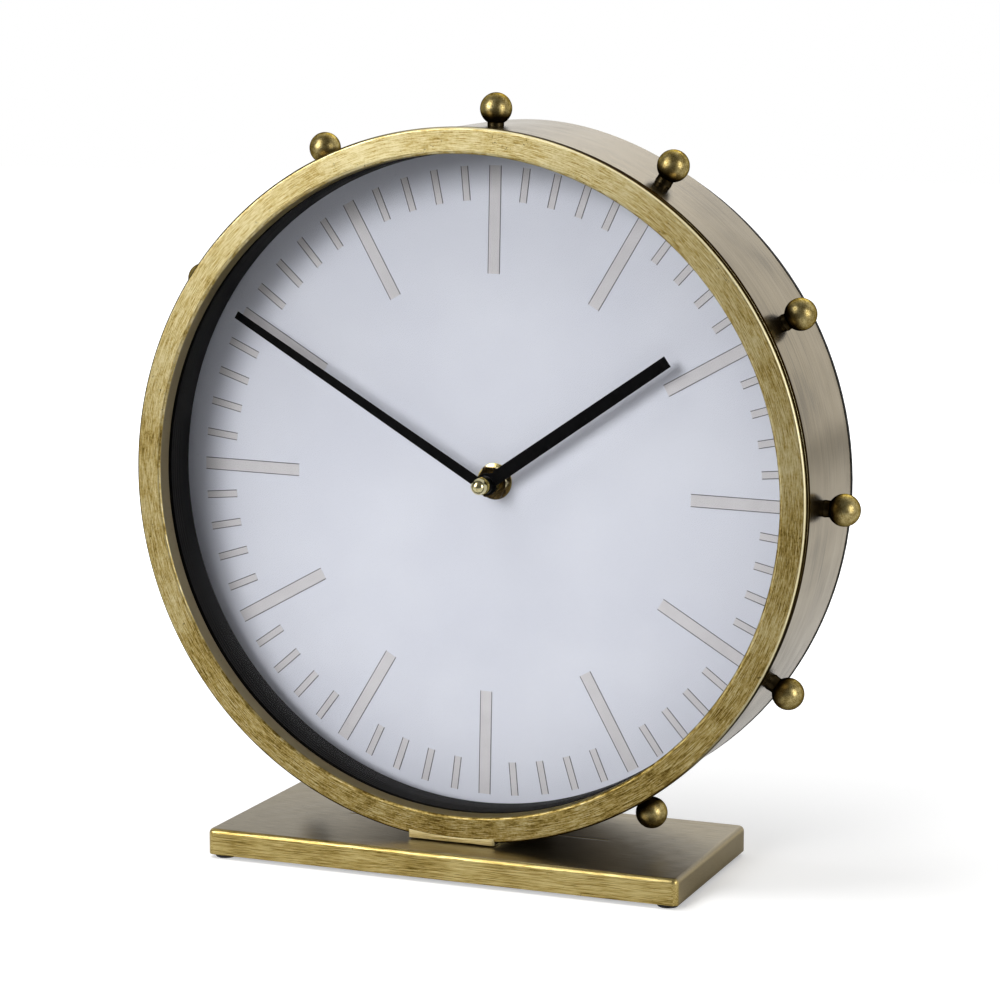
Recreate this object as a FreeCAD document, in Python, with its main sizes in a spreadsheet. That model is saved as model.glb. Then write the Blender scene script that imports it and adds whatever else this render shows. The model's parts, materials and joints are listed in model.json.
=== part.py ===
"""Round desk clock: a brass drum on a plate foot, with eleven ball studs, hands and a quartz movement.

Millimetres. X is to the right, Y goes back from the front of the clock, Z is up.
The origin is the middle of the foot's footprint, on the surface that the clock stands on.
Sizes along Y count from the bezel's front face ("depth"), and sizes across from the drum's axis.
"""

import FreeCAD, Part
import Sketcher

import math
import os
import re

SIZES = {
    # drum: bezel ring, rolled band and back board
    "bezel_radius": 133.0,
    "bezel_width": 9.8,
    "bezel_depth": 7.2,
    "bezel_plate": 3.4,
    "bezel_groove": 0.6,
    "groove_depth": 0.7,
    "lip_step": 0.2,
    "bezel_round": 1.1,
    "band_step": 1.0,
    "band_wall": 1.2,
    "drum_depth": 67.2,
    "back_thick": 2.5,
    "back_lap": 0.2,
    "back_bevel": 0.8,
    "hand_hole_radius": 45.0,
    # foot: folded tray, bottom plate, saddle and rubber feet
    "base_width": 189.0,
    "base_depth": 83.0,
    "base_height": 10.0,
    "base_wall": 1.2,
    "base_corner": 2.5,
    "base_round": 2.0,
    "base_shift": -2.2,
    "base_overhang": 15.6,
    "bottom_thick": 1.5,
    "bottom_clear": 0.2,
    "saddle_gap": 0.7,
    "saddle_width": 34.7,
    "saddle_setback": 2.7,
    "foot_radius": 4.0,
    "foot_height": 1.5,
    "foot_round": 0.4,
    "foot_inset": 5.3,
    "saddle_screw_radius": 2.5,
    "saddle_head_radius": 4.5,
    "saddle_head_height": 2.4,
    "saddle_nut_radius": 4.6,
    "saddle_nut_height": 4.0,
    "thread_past": 1.0,
    "saddle_nut_clear": 1.1,
    "saddle_screw_pitch": 11.0,
    # ball studs
    "ball_radius": 6.0,
    "ball_stand": 7.4,
    "stud_depth": 30.3,
    "stud_neck_radius": 2.9,
    "stud_tenon_radius": 1.5,
    "stud_turn": 1.4,
    # glass, spacer and dial
    "gasket_thick": 0.5,
    "gasket_width": 4.5,
    "glass_thick": 2.0,
    "edge_clear": 0.3,
    "cut_past": 1.0,
    "spacer_wall": 7.3,
    "spacer_step": 24.0,
    "skirt_wall": 2.5,
    "dial_depth": 31.8,
    "card_thick": 0.5,
    "board_thick": 3.0,
    "print_x": 0.5,
    "print_z": -2.0,
    "dial_turn": 1.0,
    "mark_inset": 7.9,
    "mark_thick": 0.1,
    "minute_mark_length": 12.9,
    "minute_mark_width": 3.0,
    "hour_mark_length": 40.3,
    "hour_mark_width": 4.9,
    # brackets and screws inside the drum
    "bracket_thick": 1.2,
    "bracket_reach": 12.0,
    "bracket_between": 5.4,
    "bracket_spread": 6.0,
    "bracket_bearing": 45.0,
    "clamp_screw_radius": 1.3,
    "clamp_screw_bite": 2.4,
    "clamp_head_radius": 2.5,
    "clamp_head_height": 1.4,
    "back_screw_radius": 1.95,
    "back_head_radius": 3.6,
    "back_head_height": 1.7,
    "head_sunk": 0.1,
    "screw_past": 1.5,
    # shaft and hands
    "shaft_x": 2.4,
    "shaft_z": -0.6,
    "bush_radius": 4.0,
    "bush_bore": 2.55,
    "bush_length": 5.0,
    "bush_flange_radius": 5.5,
    "bush_flange": 0.4,
    "rubber_radius": 7.5,
    "rubber_thick": 1.0,
    "washer_radius": 7.0,
    "washer_thick": 0.8,
    "shaft_nut_radius": 6.6,
    "shaft_nut_height": 2.4,
    "running_clear": 0.05,
    "seat_clear": 0.02,
    "pipe_radius": 2.5,
    "arbor_radius": 1.65,
    "hand_thick": 0.5,
    "hour_plane": 8.6,
    "hour_hand_short": 33.7,
    "hour_root_width": 5.2,
    "hour_tip_width": 4.5,
    "hour_hub_radius": 4.2,
    "hour_hand_angle": 55.4,
    "eyelet_neck": 2.9,
    "eyelet_radius": 3.4,
    "eyelet_collar": 2.0,
    "eyelet_rim": 0.4,
    "minute_plane": 12.3,
    "minute_hand_short": 1.7,
    "minute_root_width": 3.9,
    "minute_tip_width": 2.9,
    "minute_hub_radius": 3.5,
    "minute_hand_angle": 300.8,
    "minute_collar_radius": 3.1,
    "minute_collar": 2.2,
    "thread_radius": 1.45,
    "thread_length": 2.6,
    "cap_rim_radius": 3.2,
    "cap_rim": 0.8,
    "cap_neck_radius": 2.6,
    "cap_ball_radius": 3.1,
    "cap_ball_rise": 2.8,
    # movement case
    "case_size": 56.0,
    "case_depth": 16.5,
    "case_split": 5.0,
    "case_wall": 1.2,
    "case_corner": 1.5,
    "boss_radius": 1.3,
    "boss_length": 0.9,
    "pillar_radius": 1.5,
    "pillar_left": -6.0,
    "pillar_right": 13.5,
    "pillar_low": -3.0,
    "pillar_high": 17.0,
    "post_radius": 0.6,
    "stand_radius": 1.0,
    "bay_lip": 0.8,
    "strip_gap": 1.0,
    "strip_width": 3.0,
    # battery bay
    "battery_radius": 7.25,
    "battery_length": 50.5,
    "button_radius": 2.75,
    "button_length": 1.0,
    "battery_recess": 0.4,
    "bay_clear": 0.1,
    "contact_thick": 0.4,
    "contact_width": 9.0,
    "contact_bump": 0.4,
    "spring_radius": 4.0,
    "spring_tip": 2.2,
    # wheels
    "wheel_thick": 1.0,
    "layer_gap": 0.4,
    "pivot_radius": 0.35,
    "wheel_arbor_radius": 0.5,
    "cannon_teeth": 16,
    "minute_wheel_teeth": 48,
    "minute_pinion_teeth": 10,
    "hour_teeth": 40,
    "centre_teeth": 60,
    "third_teeth": 64,
    "third_pinion_teeth": 8,
    "fourth_teeth": 60,
    "fourth_pinion_teeth": 8,
    "fifth_teeth": 40,
    "fifth_pinion_teeth": 10,
    "rotor_teeth": 8,
    "motion_module": 0.25,
    "centre_module": 0.25,
    "train_module": 0.2,
    "minute_wheel_bearing": 135.0,
    "knob_bearing": 150.0,
    "third_bearing": 15.0,
    "fourth_bearing": 75.0,
    "fifth_bearing": 140.0,
    "rotor_bearing": 180.0,
    "knob_radius": 6.0,
    "knob_height": 3.5,
    "knob_stand": 0.5,
    "knob_arbor_radius": 1.2,
    "knob_groove": 0.8,
    "clutch_radius": 1.2,
    # motor and circuit
    "magnet_radius": 3.0,
    "magnet_length": 2.4,
    "stator_gap": 0.4,
    "stator_ring": 0.7,
    "stator_thick": 1.0,
    "stator_leg": 2.4,
    "stator_width": 18.0,
    "stator_yoke": 2.2,
    "coil_rise": 8.5,
    "coil_length": 12.0,
    "coil_radius": 2.5,
    "coil_core": 1.6,
    "coil_bore": 1.0,
    "bobbin_wall": 0.3,
    "circuit_width": 13.4,
    "circuit_height": 19.0,
    "circuit_low": -9.0,
    "circuit_thick": 1.0,
    "circuit_post": 1.7,
    "crystal_radius": 1.0,
    "crystal_length": 6.0,
    "chip_radius": 2.5,
    "chip_height": 0.8,
}
STUD_HOURS = "12 01 02 03 04 05 07 08 09 10 11".split()
TOUCHING = 1e-6

# Where the drum stands in the model: every depth and height is counted from here.
FRONT = "(base_overhang - base_depth / 2)"
AXIS = "(foot_height + base_height + saddle_gap + bezel_radius)"

# Radii and depths that several pieces share.
BAND = "(bezel_radius - band_step)"
BAND_INSIDE = f"({BAND} - band_wall)"
BAND_END = "(drum_depth - back_thick)"
BALL_CIRCLE = f"({BAND} + ball_stand)"
GLASS_FRONT = "(bezel_depth + gasket_thick)"
GLASS_BACK = f"({GLASS_FRONT} + glass_thick)"
FITTED_RADIUS = f"({BAND_INSIDE} - edge_clear)"
GASKET_INSIDE = f"({FITTED_RADIUS} - gasket_width)"
SPACER_INSIDE = f"({FITTED_RADIUS} - spacer_wall)"
SKIRT_INSIDE = f"({FITTED_RADIUS} - skirt_wall)"
MARK_OUTER = f"({SKIRT_INSIDE} - mark_inset)"
BOARD_FRONT = "(dial_depth + card_thick)"
BOARD_BACK = f"({BOARD_FRONT} + board_thick)"
BRACKET_FOOT = f"(({BAND_END} - {BOARD_BACK} - bracket_between) / 2)"
SADDLE_SCREW = f"({BOARD_BACK} + saddle_nut_radius + saddle_nut_clear)"
SADDLE_END = f"({BAND_END} - saddle_setback)"
BASE_TOP = "(0 - bezel_radius - saddle_gap)"
BASE_UNDER = f"({BASE_TOP} - base_height)"
CASE = f"({BOARD_BACK} + rubber_thick)"
CASE_HALF = "(case_size / 2)"
CASE_INSIDE = f"({CASE_HALF} - case_wall)"
CASE_END = f"({CASE} + case_depth)"
REAR_WALL = f"({CASE_END} - case_wall)"
BOSS_FRONT = f"({REAR_WALL} - boss_length)"
BAY_FLOOR = f"(shaft_z - {CASE_INSIDE})"
BATTERY_Z = f"({BAY_FLOOR} + bay_clear + battery_radius)"
BAY_ROOF = f"({BATTERY_Z} + battery_radius + bay_clear)"
BATTERY_Y = f"({CASE_END} - battery_recess - battery_radius)"
BATTERY_RIGHT = f"(shaft_x + {CASE_INSIDE} - contact_thick - contact_bump - bay_clear)"
SHAFT = ("shaft_x", "shaft_z")
BRACKET_TOP = ("0", f"({BAND_INSIDE} - bracket_reach / 2)")
BUSH_SEAT = "(bush_radius + seat_clear)"
HOUR_FRONT = "(dial_depth - hour_plane - hand_thick)"
MINUTE_FRONT = "(dial_depth - minute_plane - hand_thick)"
CIRCUIT_LEFT = f"(shaft_x + {CASE_INSIDE} - contact_thick - circuit_width)"
CIRCUIT_LOW = "(shaft_z + circuit_low)"
CIRCUIT_BACK = f"({REAR_WALL} - circuit_post)"
CIRCUIT_FRONT = f"({CIRCUIT_BACK} - circuit_thick)"
STRIP_FRONT = f"({CIRCUIT_FRONT} - strip_width / 2)"

doc = FreeCAD.newDocument("desk_clock")
sheet = doc.addObject("Spreadsheet::Sheet", "Sizes")
for row, (alias, value) in enumerate(SIZES.items(), start=1):
    sheet.set(f"A{row}", alias)
    sheet.set(f"B{row}", str(value))
    sheet.setAlias(f"B{row}", alias)
doc.recompute()

parts = {}


def formula(text):
    """The text with each size's name turned into a reference to its cell."""
    return re.sub(r"[a-z]+(?:_[a-z]+)*", lambda m: f"Sizes.{m[0]}" if m[0] in SIZES else m[0], text)


def size(text):
    """The number that a formula of sizes gives now."""
    return float(sheet.evalExpression(formula(text)))


def bind(thing, **formulas):
    """Ties properties of a document object to formulas of sizes."""
    for name, text in formulas.items():
        thing.setExpression(name, formula(text))
    return thing


def place(thing, x="0", depth="0", z="0", axis=(0, 1, 0), turn="0"):
    """Puts an object at a point given from the drum's axis and the bezel's face, turned by degrees."""
    where = f"vector({x}; {FRONT} + {depth}; {AXIS} + {z})"
    spin = f"rotation(vector({axis[0]}; {axis[1]}; {axis[2]}); {turn})"
    return bind(thing, Placement=f"placement({where}; {spin})")


def keep(label, thing):
    """Names a finished sub-part and puts it on the list of parts that are written."""
    thing.Label = label
    parts[label] = thing
    return thing


def plane(body, role):
    """One of a body's own origin planes."""
    return next(o for o in body.Origin.OriginFeatures if o.Role == role)


def outline(body, role, corners):
    """A closed sketch through corners, each a pair of formulas, every corner held by its formulas."""
    sketch = body.newObject("Sketcher::SketchObject", f"{body.Name}_outline")
    sketch.AttachmentSupport = [(plane(body, role), "")]
    sketch.MapMode = "FlatFace"
    points = [FreeCAD.Vector(size(across), size(along), 0) for across, along in corners]
    count = len(points)
    for i in range(count):
        sketch.addGeometry(Part.LineSegment(points[i], points[(i + 1) % count]), False)
    for i in range(count):
        sketch.addConstraint(Sketcher.Constraint("Coincident", i, 2, (i + 1) % count, 1))
    for i, corner in enumerate(corners):
        for kind, text, now in zip(("DistanceX", "DistanceY"), corner, points[i]):
            number = sketch.addConstraint(Sketcher.Constraint(kind, -1, 1, i, 1, now))
            sketch.setExpression(f"Constraints[{number}]", formula(text))
    return sketch


def turned(name, corners, role="XY_Plane", angle="360"):
    """A body turned about its own upright axis: across and along, Y on XY_Plane and Z on XZ_Plane."""
    body = doc.addObject("PartDesign::Body", name)
    turn = body.newObject("PartDesign::Revolution", f"{name}_turn")
    turn.Profile = outline(body, role, corners)
    turn.ReferenceAxis = (turn.Profile[0], ["V_Axis"])
    turn.Midplane = True
    bind(turn, Angle=angle)
    return body


def ring(name, inner, outer, front, back):
    """A turned ring about Y between two radii and two depths."""
    return turned(name, [(inner, front), (outer, front), (outer, back), (inner, back)])


def disc(name, radius, front, back):
    """A turned disc about Y between two depths."""
    return ring(name, "0", radius, front, back)


def rod(name, spot, radius, front, back):
    """A cylinder along Y at a spot of the drum's face, between two depths."""
    bar = bind(doc.addObject("Part::Cylinder", name), Radius=radius, Height=f"{back} - {front}")
    return place(bar, spot[0], front, spot[1], (1, 0, 0), "-90")


def drill(name, spot, radius, front, back):
    """The tool for a hole along Y that goes through both of two depths."""
    return rod(name, spot, radius, f"({front} - cut_past)", f"({back} + cut_past)")


def block(name, left, right, front, back, low, high):
    """A box between two positions on each axis."""
    box = doc.addObject("Part::Box", name)
    bind(box, Length=f"{right} - {left}", Width=f"{back} - {front}", Height=f"{high} - {low}")
    return place(box, left, front, low)


def hexagon(name, spot, radius, front, back):
    """A six-sided bar along Y, its radius measured to the corners."""
    bar = doc.addObject("Part::Prism", name)
    bar.Polygon = 6
    bind(bar, Circumradius=radius, Height=f"{back} - {front}")
    return place(bar, spot[0], front, spot[1], (1, 0, 0), "-90")


def fused(name, *pieces):
    """Several solids joined into one."""
    whole = doc.addObject("Part::MultiFuse", name)
    whole.Shapes = list(pieces)
    return whole


def cut(name, base, *tools):
    """A solid with tools taken out of it."""
    result = doc.addObject("Part::Cut", name)
    result.Base = base
    result.Tool = tools[0] if len(tools) == 1 else fused(f"{name}_tools", *tools)
    return result


def shaped(name, shape):
    """An object for a shape that no feature makes, such as a toothed wheel."""
    thing = doc.addObject("Part::Feature", name)
    thing.Shape = shape
    return thing


def repeated(name, source, placements):
    """Copies of a finished object as one group of separate solids."""
    doc.recompute()
    copies = [source.Shape.transformed(placement.toMatrix(), True) for placement in placements]
    return shaped(name, Part.makeCompound(copies))


def about_axis(degrees, spot=("0", "0")):
    """A turn about the drum's axis or a spot beside it, clockwise as seen from the front."""
    centre = FreeCAD.Vector(size(spot[0]), 0, size(f"{AXIS} + {spot[1]}"))
    return FreeCAD.Placement(FreeCAD.Vector(), FreeCAD.Rotation(FreeCAD.Vector(0, 1, 0), degrees), centre)


def offset(x=0.0, y=0.0, z=0.0):
    """A move with no turn."""
    return FreeCAD.Placement(FreeCAD.Vector(x, y, z), FreeCAD.Rotation())


def polar(distance, bearing, start=("0", "0")):
    """The point at a distance from a start, its bearing counted from X towards Z."""
    x = f"({start[0]} + {distance} * cos({bearing} * 1 deg))"
    z = f"({start[1]} + {distance} * sin({bearing} * 1 deg))"
    return x, z


# ---------------------------------------------------------------------------
# Drum
# ---------------------------------------------------------------------------


def bezel_ring():
    """Flat ring at the front, with a fine groove round its side and softened front edges."""
    opening = "bezel_radius - bezel_width"
    lip = "bezel_plate + bezel_groove"
    body = turned(
        "bezel_ring",
        [
            (opening, "0"),
            ("bezel_radius", "0"),
            ("bezel_radius", "bezel_plate"),
            ("bezel_radius - groove_depth", "bezel_plate"),
            ("bezel_radius - groove_depth", lip),
            ("bezel_radius - lip_step", lip),
            ("bezel_radius - lip_step", "bezel_depth"),
            (opening, "bezel_depth"),
        ],
    )
    doc.recompute()
    turn = body.Tip
    front_edges = [
        f"Edge{i}"
        for i, edge in enumerate(turn.Shape.Edges, start=1)
        if abs(edge.BoundBox.YMax) < TOUCHING and edge.Length > size("bezel_radius")
    ]
    soft = body.newObject("PartDesign::Fillet", "bezel_ring_soft_edges")
    soft.Base = (turn, front_edges)
    bind(soft, Radius="bezel_round")
    return place(body)


def stud_bore(name, radius):
    """The tool for one radial hole through the top of the band."""
    low, high = f"{BAND} - 2 * band_wall", f"{BAND} + band_wall"
    bore = turned(name, [("0", low), (radius, low), (radius, high), ("0", high)], "XZ_Plane")
    return place(bore, "0", "stud_depth")


def saddle_bores(name):
    """Two upright holes for the saddle's screws, through everything from the tray to the band."""
    bore = doc.addObject("Part::Cylinder", f"{name}_first")
    bind(bore, Radius="saddle_screw_radius + running_clear", Height="base_height + 2 * saddle_nut_height")
    place(bore, "base_shift", SADDLE_SCREW, f"{BASE_TOP} - base_height / 2")
    return repeated(name, bore, [offset(), offset(y=size("saddle_screw_pitch"))])


def drum_band():
    """Rolled band behind the bezel, with a tenon hole for each stud and two screw holes below."""
    tube = place(ring("drum_band_tube", BAND_INSIDE, BAND, "bezel_depth", BAND_END))
    bore = stud_bore("drum_band_bore", "stud_tenon_radius + running_clear")
    turns = [about_axis(30 * int(hour) + size("stud_turn")) for hour in STUD_HOURS]
    studs = repeated("drum_band_stud_holes", bore, turns)
    return cut("drum_band", tube, studs, saddle_bores("drum_band_screw_holes"))


def ball_stud(hour):
    """Ball on a short neck, riveted through the band at one hour."""
    name = f"ball_stud_{hour}"
    ball = bind(doc.addObject("Part::Sphere", f"{name}_ball"), Radius="ball_radius")
    bind(ball, Placement=f"placement(vector(0; 0; {BALL_CIRCLE}); rotation(vector(0; 1; 0); 0))")
    stem = turned(
        f"{name}_stem",
        [
            ("0", BAND_INSIDE),
            ("stud_tenon_radius", BAND_INSIDE),
            ("stud_tenon_radius", BAND),
            ("stud_neck_radius", BAND),
            ("stud_neck_radius", BALL_CIRCLE),
            ("0", BALL_CIRCLE),
        ],
        "XZ_Plane",
    )
    return place(fused(name, ball, stem), "0", "stud_depth", turn=f"{30 * int(hour)} + stud_turn")


# ---------------------------------------------------------------------------
# Foot
# ---------------------------------------------------------------------------


def softened_box(name, inset, low, high, corner, top_round):
    """A box inside the foot's outline by an inset, upright edges and top edges rounded."""
    body = doc.addObject("PartDesign::Body", name)
    box = body.newObject("PartDesign::AdditiveBox", f"{name}_box")
    bind(
        box,
        Length=f"base_width - 2 * {inset}",
        Width=f"base_depth - 2 * {inset}",
        Height=f"{high} - {low}",
    )
    doc.recompute()
    corners = body.newObject("PartDesign::Fillet", f"{name}_corners")
    corners.Base = (box, edges_where(box.Shape, lambda b: b.ZLength > max(b.XLength, b.YLength)))
    bind(corners, Radius=corner)
    doc.recompute()
    if top_round:
        top = box.Shape.BoundBox.ZMax
        rounding = body.newObject("PartDesign::Fillet", f"{name}_top")
        rounding.Base = (corners, edges_where(corners.Shape, lambda b: b.ZMin > top - TOUCHING))
        bind(rounding, Radius=top_round)
        body.Tip = rounding
    left = f"base_shift - base_width / 2 + {inset}"
    return place(body, left, f"{inset} - base_overhang", low)


def edges_where(shape, chosen):
    """The names of the edges whose bounding box meets a condition."""
    return [f"Edge{i}" for i, edge in enumerate(shape.Edges, start=1) if chosen(edge.BoundBox)]


def base_tray():
    """Folded sheet tray, open below, with rounded edges."""
    outer = softened_box("base_tray_outer", "0", BASE_UNDER, BASE_TOP, "base_corner", "base_round")
    inner = softened_box(
        "base_tray_inner",
        "base_wall",
        f"({BASE_UNDER} - base_wall)",
        f"({BASE_TOP} - base_wall)",
        "base_corner - base_wall",
        "base_round - base_wall",
    )
    return cut("base_tray", outer, inner, saddle_bores("base_tray_screw_holes"))


def base_bottom():
    """Plate that closes the tray from below."""
    inset = "(base_wall + bottom_clear)"
    high = f"({BASE_UNDER} + bottom_thick)"
    return softened_box("base_bottom", inset, BASE_UNDER, high, "base_corner - base_wall", "")


def saddle():
    """Block between tray and drum, hollowed to the bezel and the band, flush with the bezel."""
    half = "saddle_width / 2"
    top = f"(0 - sqrt({BAND} ^ 2 - (saddle_width / 2 + abs(base_shift)) ^ 2) + cut_past)"
    left, right = f"(base_shift - {half})", f"(base_shift + {half})"
    blank = block("saddle_blank", left, right, "0", SADDLE_END, BASE_TOP, top)
    hollow = turned(
        "saddle_hollow",
        [
            ("0", "0 - cut_past"),
            ("bezel_radius", "0 - cut_past"),
            ("bezel_radius", "bezel_depth"),
            (BAND, "bezel_depth"),
            (BAND, "drum_depth"),
            ("0", "drum_depth"),
        ],
    )
    return cut("saddle", blank, place(hollow), saddle_bores("saddle_screw_holes"))


def rubber_feet():
    """Four rubber discs under the bottom plate."""
    foot = turned(
        "rubber_foot",
        [
            ("0", "0 - foot_height"),
            ("foot_radius - foot_round", "0 - foot_height"),
            ("foot_radius", "foot_round - foot_height"),
            ("foot_radius", "0"),
            ("0", "0"),
        ],
        "XZ_Plane",
    )
    left = "base_shift - base_width / 2 + foot_inset"
    place(foot, left, "foot_inset - base_overhang", BASE_UNDER)
    across, along = size("base_width - 2 * foot_inset"), size("base_depth - 2 * foot_inset")
    spots = [offset(x, y) for x in (0, across) for y in (0, along)]
    return repeated("rubber_feet", foot, spots)


def saddle_screws():
    """Two pan-head screws up through tray, saddle and band."""
    head_under = "(0 - base_wall - saddle_head_height)"
    tip = "(saddle_gap + band_step + band_wall + saddle_nut_height + thread_past)"
    screw = turned(
        "saddle_screw",
        [
            ("0", head_under),
            ("saddle_head_radius", head_under),
            ("saddle_head_radius", "0 - base_wall"),
            ("saddle_screw_radius", "0 - base_wall"),
            ("saddle_screw_radius", tip),
            ("0", tip),
        ],
        "XZ_Plane",
    )
    place(screw, "base_shift", SADDLE_SCREW, BASE_TOP)
    return repeated("saddle_screws", screw, [offset(), offset(y=size("saddle_screw_pitch"))])


def saddle_nuts():
    """Two hexagon nuts on the saddle's screws, inside the band."""
    nut = doc.addObject("Part::Prism", "saddle_nut_blank")
    nut.Polygon = 6
    bind(nut, Circumradius="saddle_nut_radius", Height="saddle_nut_height")
    reach = "(saddle_nut_radius + abs(base_shift) + seat_clear)"
    seat = f"(0 - sqrt(({BAND_INSIDE}) ^ 2 - {reach} ^ 2))"
    place(nut, "base_shift", SADDLE_SCREW, seat)
    bore = doc.addObject("Part::Cylinder", "saddle_nut_bore")
    bind(bore, Radius="saddle_screw_radius + seat_clear", Height="2 * saddle_nut_height")
    place(bore, "base_shift", SADDLE_SCREW, f"{seat} - saddle_nut_height / 2")
    drilled = cut("saddle_nut", nut, bore)
    return repeated("saddle_nuts", drilled, [offset(), offset(y=size("saddle_screw_pitch"))])


# ---------------------------------------------------------------------------
# Glass, dial and what holds them
# ---------------------------------------------------------------------------


def spacer_ring():
    """Ring flush with the bezel's opening behind the glass, with a thin skirt back to the dial."""
    corners = [
        (SPACER_INSIDE, GLASS_BACK),
        (FITTED_RADIUS, GLASS_BACK),
        (FITTED_RADIUS, "dial_depth"),
        (SKIRT_INSIDE, "dial_depth"),
        (SKIRT_INSIDE, "spacer_step"),
        (SPACER_INSIDE, "spacer_step"),
    ]
    return place(turned("spacer_ring", corners))


def dial_card():
    """White printed card on the front of the dial board, holed for the bush."""
    card = place(disc("dial_card_blank", FITTED_RADIUS, "dial_depth", BOARD_FRONT))
    hole = drill("dial_card_hole", SHAFT, "bush_radius + edge_clear", "dial_depth", BOARD_FRONT)
    return cut("dial_card", card, hole)


def dial_marks():
    """Sixty printed marks, the twelve hour marks longer and wider, as thin raised bars."""
    front = size(f"{FRONT} + dial_depth - mark_thick")
    centre = FreeCAD.Vector(size("print_x"), 0, size(f"{AXIS} + print_z"))
    marks = []
    for minute in range(60):
        kind = "minute" if minute % 5 else "hour"
        length, width = size(f"{kind}_mark_length"), size(f"{kind}_mark_width")
        mark = Part.makeBox(width, size("mark_thick"), length)
        mark.translate(FreeCAD.Vector(centre.x - width / 2, front, centre.z + size(MARK_OUTER) - length))
        mark.rotate(centre, FreeCAD.Vector(0, 1, 0), 6 * minute + size("dial_turn"))
        marks.append(mark)
    return shaped("dial_marks", Part.makeCompound(marks))


def bracket_turns():
    """The four places of the brackets, between the studs."""
    return [about_axis(size("bracket_bearing") + 90 * i) for i in range(4)]


def brackets(name, seat, way, hole_radius):
    """Four bent tabs inside the band: tab against a board at the seat, foot along the band."""
    inner = f"({BAND_INSIDE} - bracket_reach)"
    skin = f"({BAND_INSIDE} - bracket_thick)"
    foot_end = f"({seat} {way} {BRACKET_FOOT})"
    tab_end = f"({seat} {way} bracket_thick)"
    corners = [
        (inner, seat),
        (BAND_INSIDE, seat),
        (BAND_INSIDE, foot_end),
        (skin, foot_end),
        (skin, tab_end),
        (inner, tab_end),
    ]
    bent = place(turned(f"{name}_bent", corners, angle="bracket_spread"), turn="0 - 90")
    before, beyond = f"({seat} - bracket_thick)", f"({seat} + bracket_thick)"
    hole = drill(f"{name}_hole", BRACKET_TOP, hole_radius, before, beyond)
    return repeated(name, cut(f"{name}_single", bent, hole), bracket_turns())


def clamp_screws():
    """Four pan-head screws that hold the clamp brackets to the dial board."""
    seat = f"({BOARD_BACK} + bracket_thick)"
    head = rod("clamp_head", BRACKET_TOP, "clamp_head_radius", seat, f"({seat} + clamp_head_height)")
    tip = f"({BOARD_BACK} - clamp_screw_bite)"
    shank = rod("clamp_shank", BRACKET_TOP, "clamp_screw_radius", tip, seat)
    return repeated("clamp_screws", fused("clamp_screw", head, shank), bracket_turns())


def dial_board():
    """Board behind the card, with the bush's hole and a pilot hole for each clamp screw."""
    blank = place(disc("dial_board_blank", FITTED_RADIUS, BOARD_FRONT, BOARD_BACK))
    hole = drill("dial_board_hole", SHAFT, "bush_radius + edge_clear", BOARD_FRONT, BOARD_BACK)
    tip, past = f"({BOARD_BACK} - clamp_screw_bite)", f"({BOARD_BACK} + cut_past)"
    pilot = rod("dial_board_pilot", BRACKET_TOP, "clamp_screw_radius + seat_clear", tip, past)
    return cut("dial_board", blank, hole, repeated("dial_board_pilots", pilot, bracket_turns()))


def countersunk(name, clear, end):
    """The outline of one back screw, wider by a clearance and ending at a depth, as a turned solid."""
    cone_start = "(drum_depth - head_sunk - back_head_height)"
    flush = "(drum_depth - head_sunk)"
    tip = f"({BAND_END} - bracket_thick - screw_past)"
    body = turned(
        name,
        [
            ("0", tip),
            (f"back_screw_radius + {clear}", tip),
            (f"back_screw_radius + {clear}", cone_start),
            (f"back_head_radius + {clear}", flush),
            (f"back_head_radius + {clear}", end),
            ("0", end),
        ],
    )
    return place(body, z=BRACKET_TOP[1])


def back_screws():
    """Four countersunk screws that hold the back board to its lugs."""
    flush = "(drum_depth - head_sunk / 2)"
    return repeated("back_screws", countersunk("back_screw", "0", flush), bracket_turns())


def back_board():
    """Black board that closes the drum, lapped over the band, with a round opening for a hand."""
    lap = f"({BAND} + back_lap)"
    blank = turned(
        "back_board_blank",
        [
            ("hand_hole_radius", BAND_END),
            (lap, BAND_END),
            (lap, "drum_depth - back_bevel"),
            (f"{lap} - back_bevel", "drum_depth"),
            ("hand_hole_radius", "drum_depth"),
        ],
    )
    holes = repeated(
        "back_board_screw_holes",
        countersunk("back_board_hole", "seat_clear", "(drum_depth + back_thick)"),
        bracket_turns(),
    )
    return cut("back_board", place(blank), holes)


# ---------------------------------------------------------------------------
# Shaft and hands
# ---------------------------------------------------------------------------


def ahead(height):
    """The depth of a point at a height in front of the dial card."""
    return f"(dial_depth - {height})"


def on_shaft(thing, depth="0", turn="0"):
    """Puts an object that was made about its own Y axis on the clock's shaft."""
    return place(thing, SHAFT[0], depth, SHAFT[1], turn=turn)


def shaft_ring(name, inner, outer, front, back):
    """A ring about the shaft between two depths."""
    return on_shaft(ring(name, inner, outer, front, back))


def bush():
    """Threaded bush with a flange inside the case, through case, board and card."""
    flange = f"({CASE} + case_wall)"
    return on_shaft(
        turned(
            "bush",
            [
                ("bush_bore", ahead("bush_length")),
                ("bush_radius", ahead("bush_length")),
                ("bush_radius", flange),
                ("bush_flange_radius", flange),
                ("bush_flange_radius", f"{flange} + bush_flange"),
                ("bush_bore", f"{flange} + bush_flange"),
            ],
        )
    )


def hex_nut():
    """Hexagon nut on the bush, in front of the brass washer."""
    front, back = ahead("(washer_thick + shaft_nut_height)"), ahead("washer_thick")
    blank = hexagon("hex_nut_blank", SHAFT, "shaft_nut_radius", front, back)
    bore = drill("hex_nut_bore", SHAFT, BUSH_SEAT, front, back)
    return cut("hex_nut", blank, bore)


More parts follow.
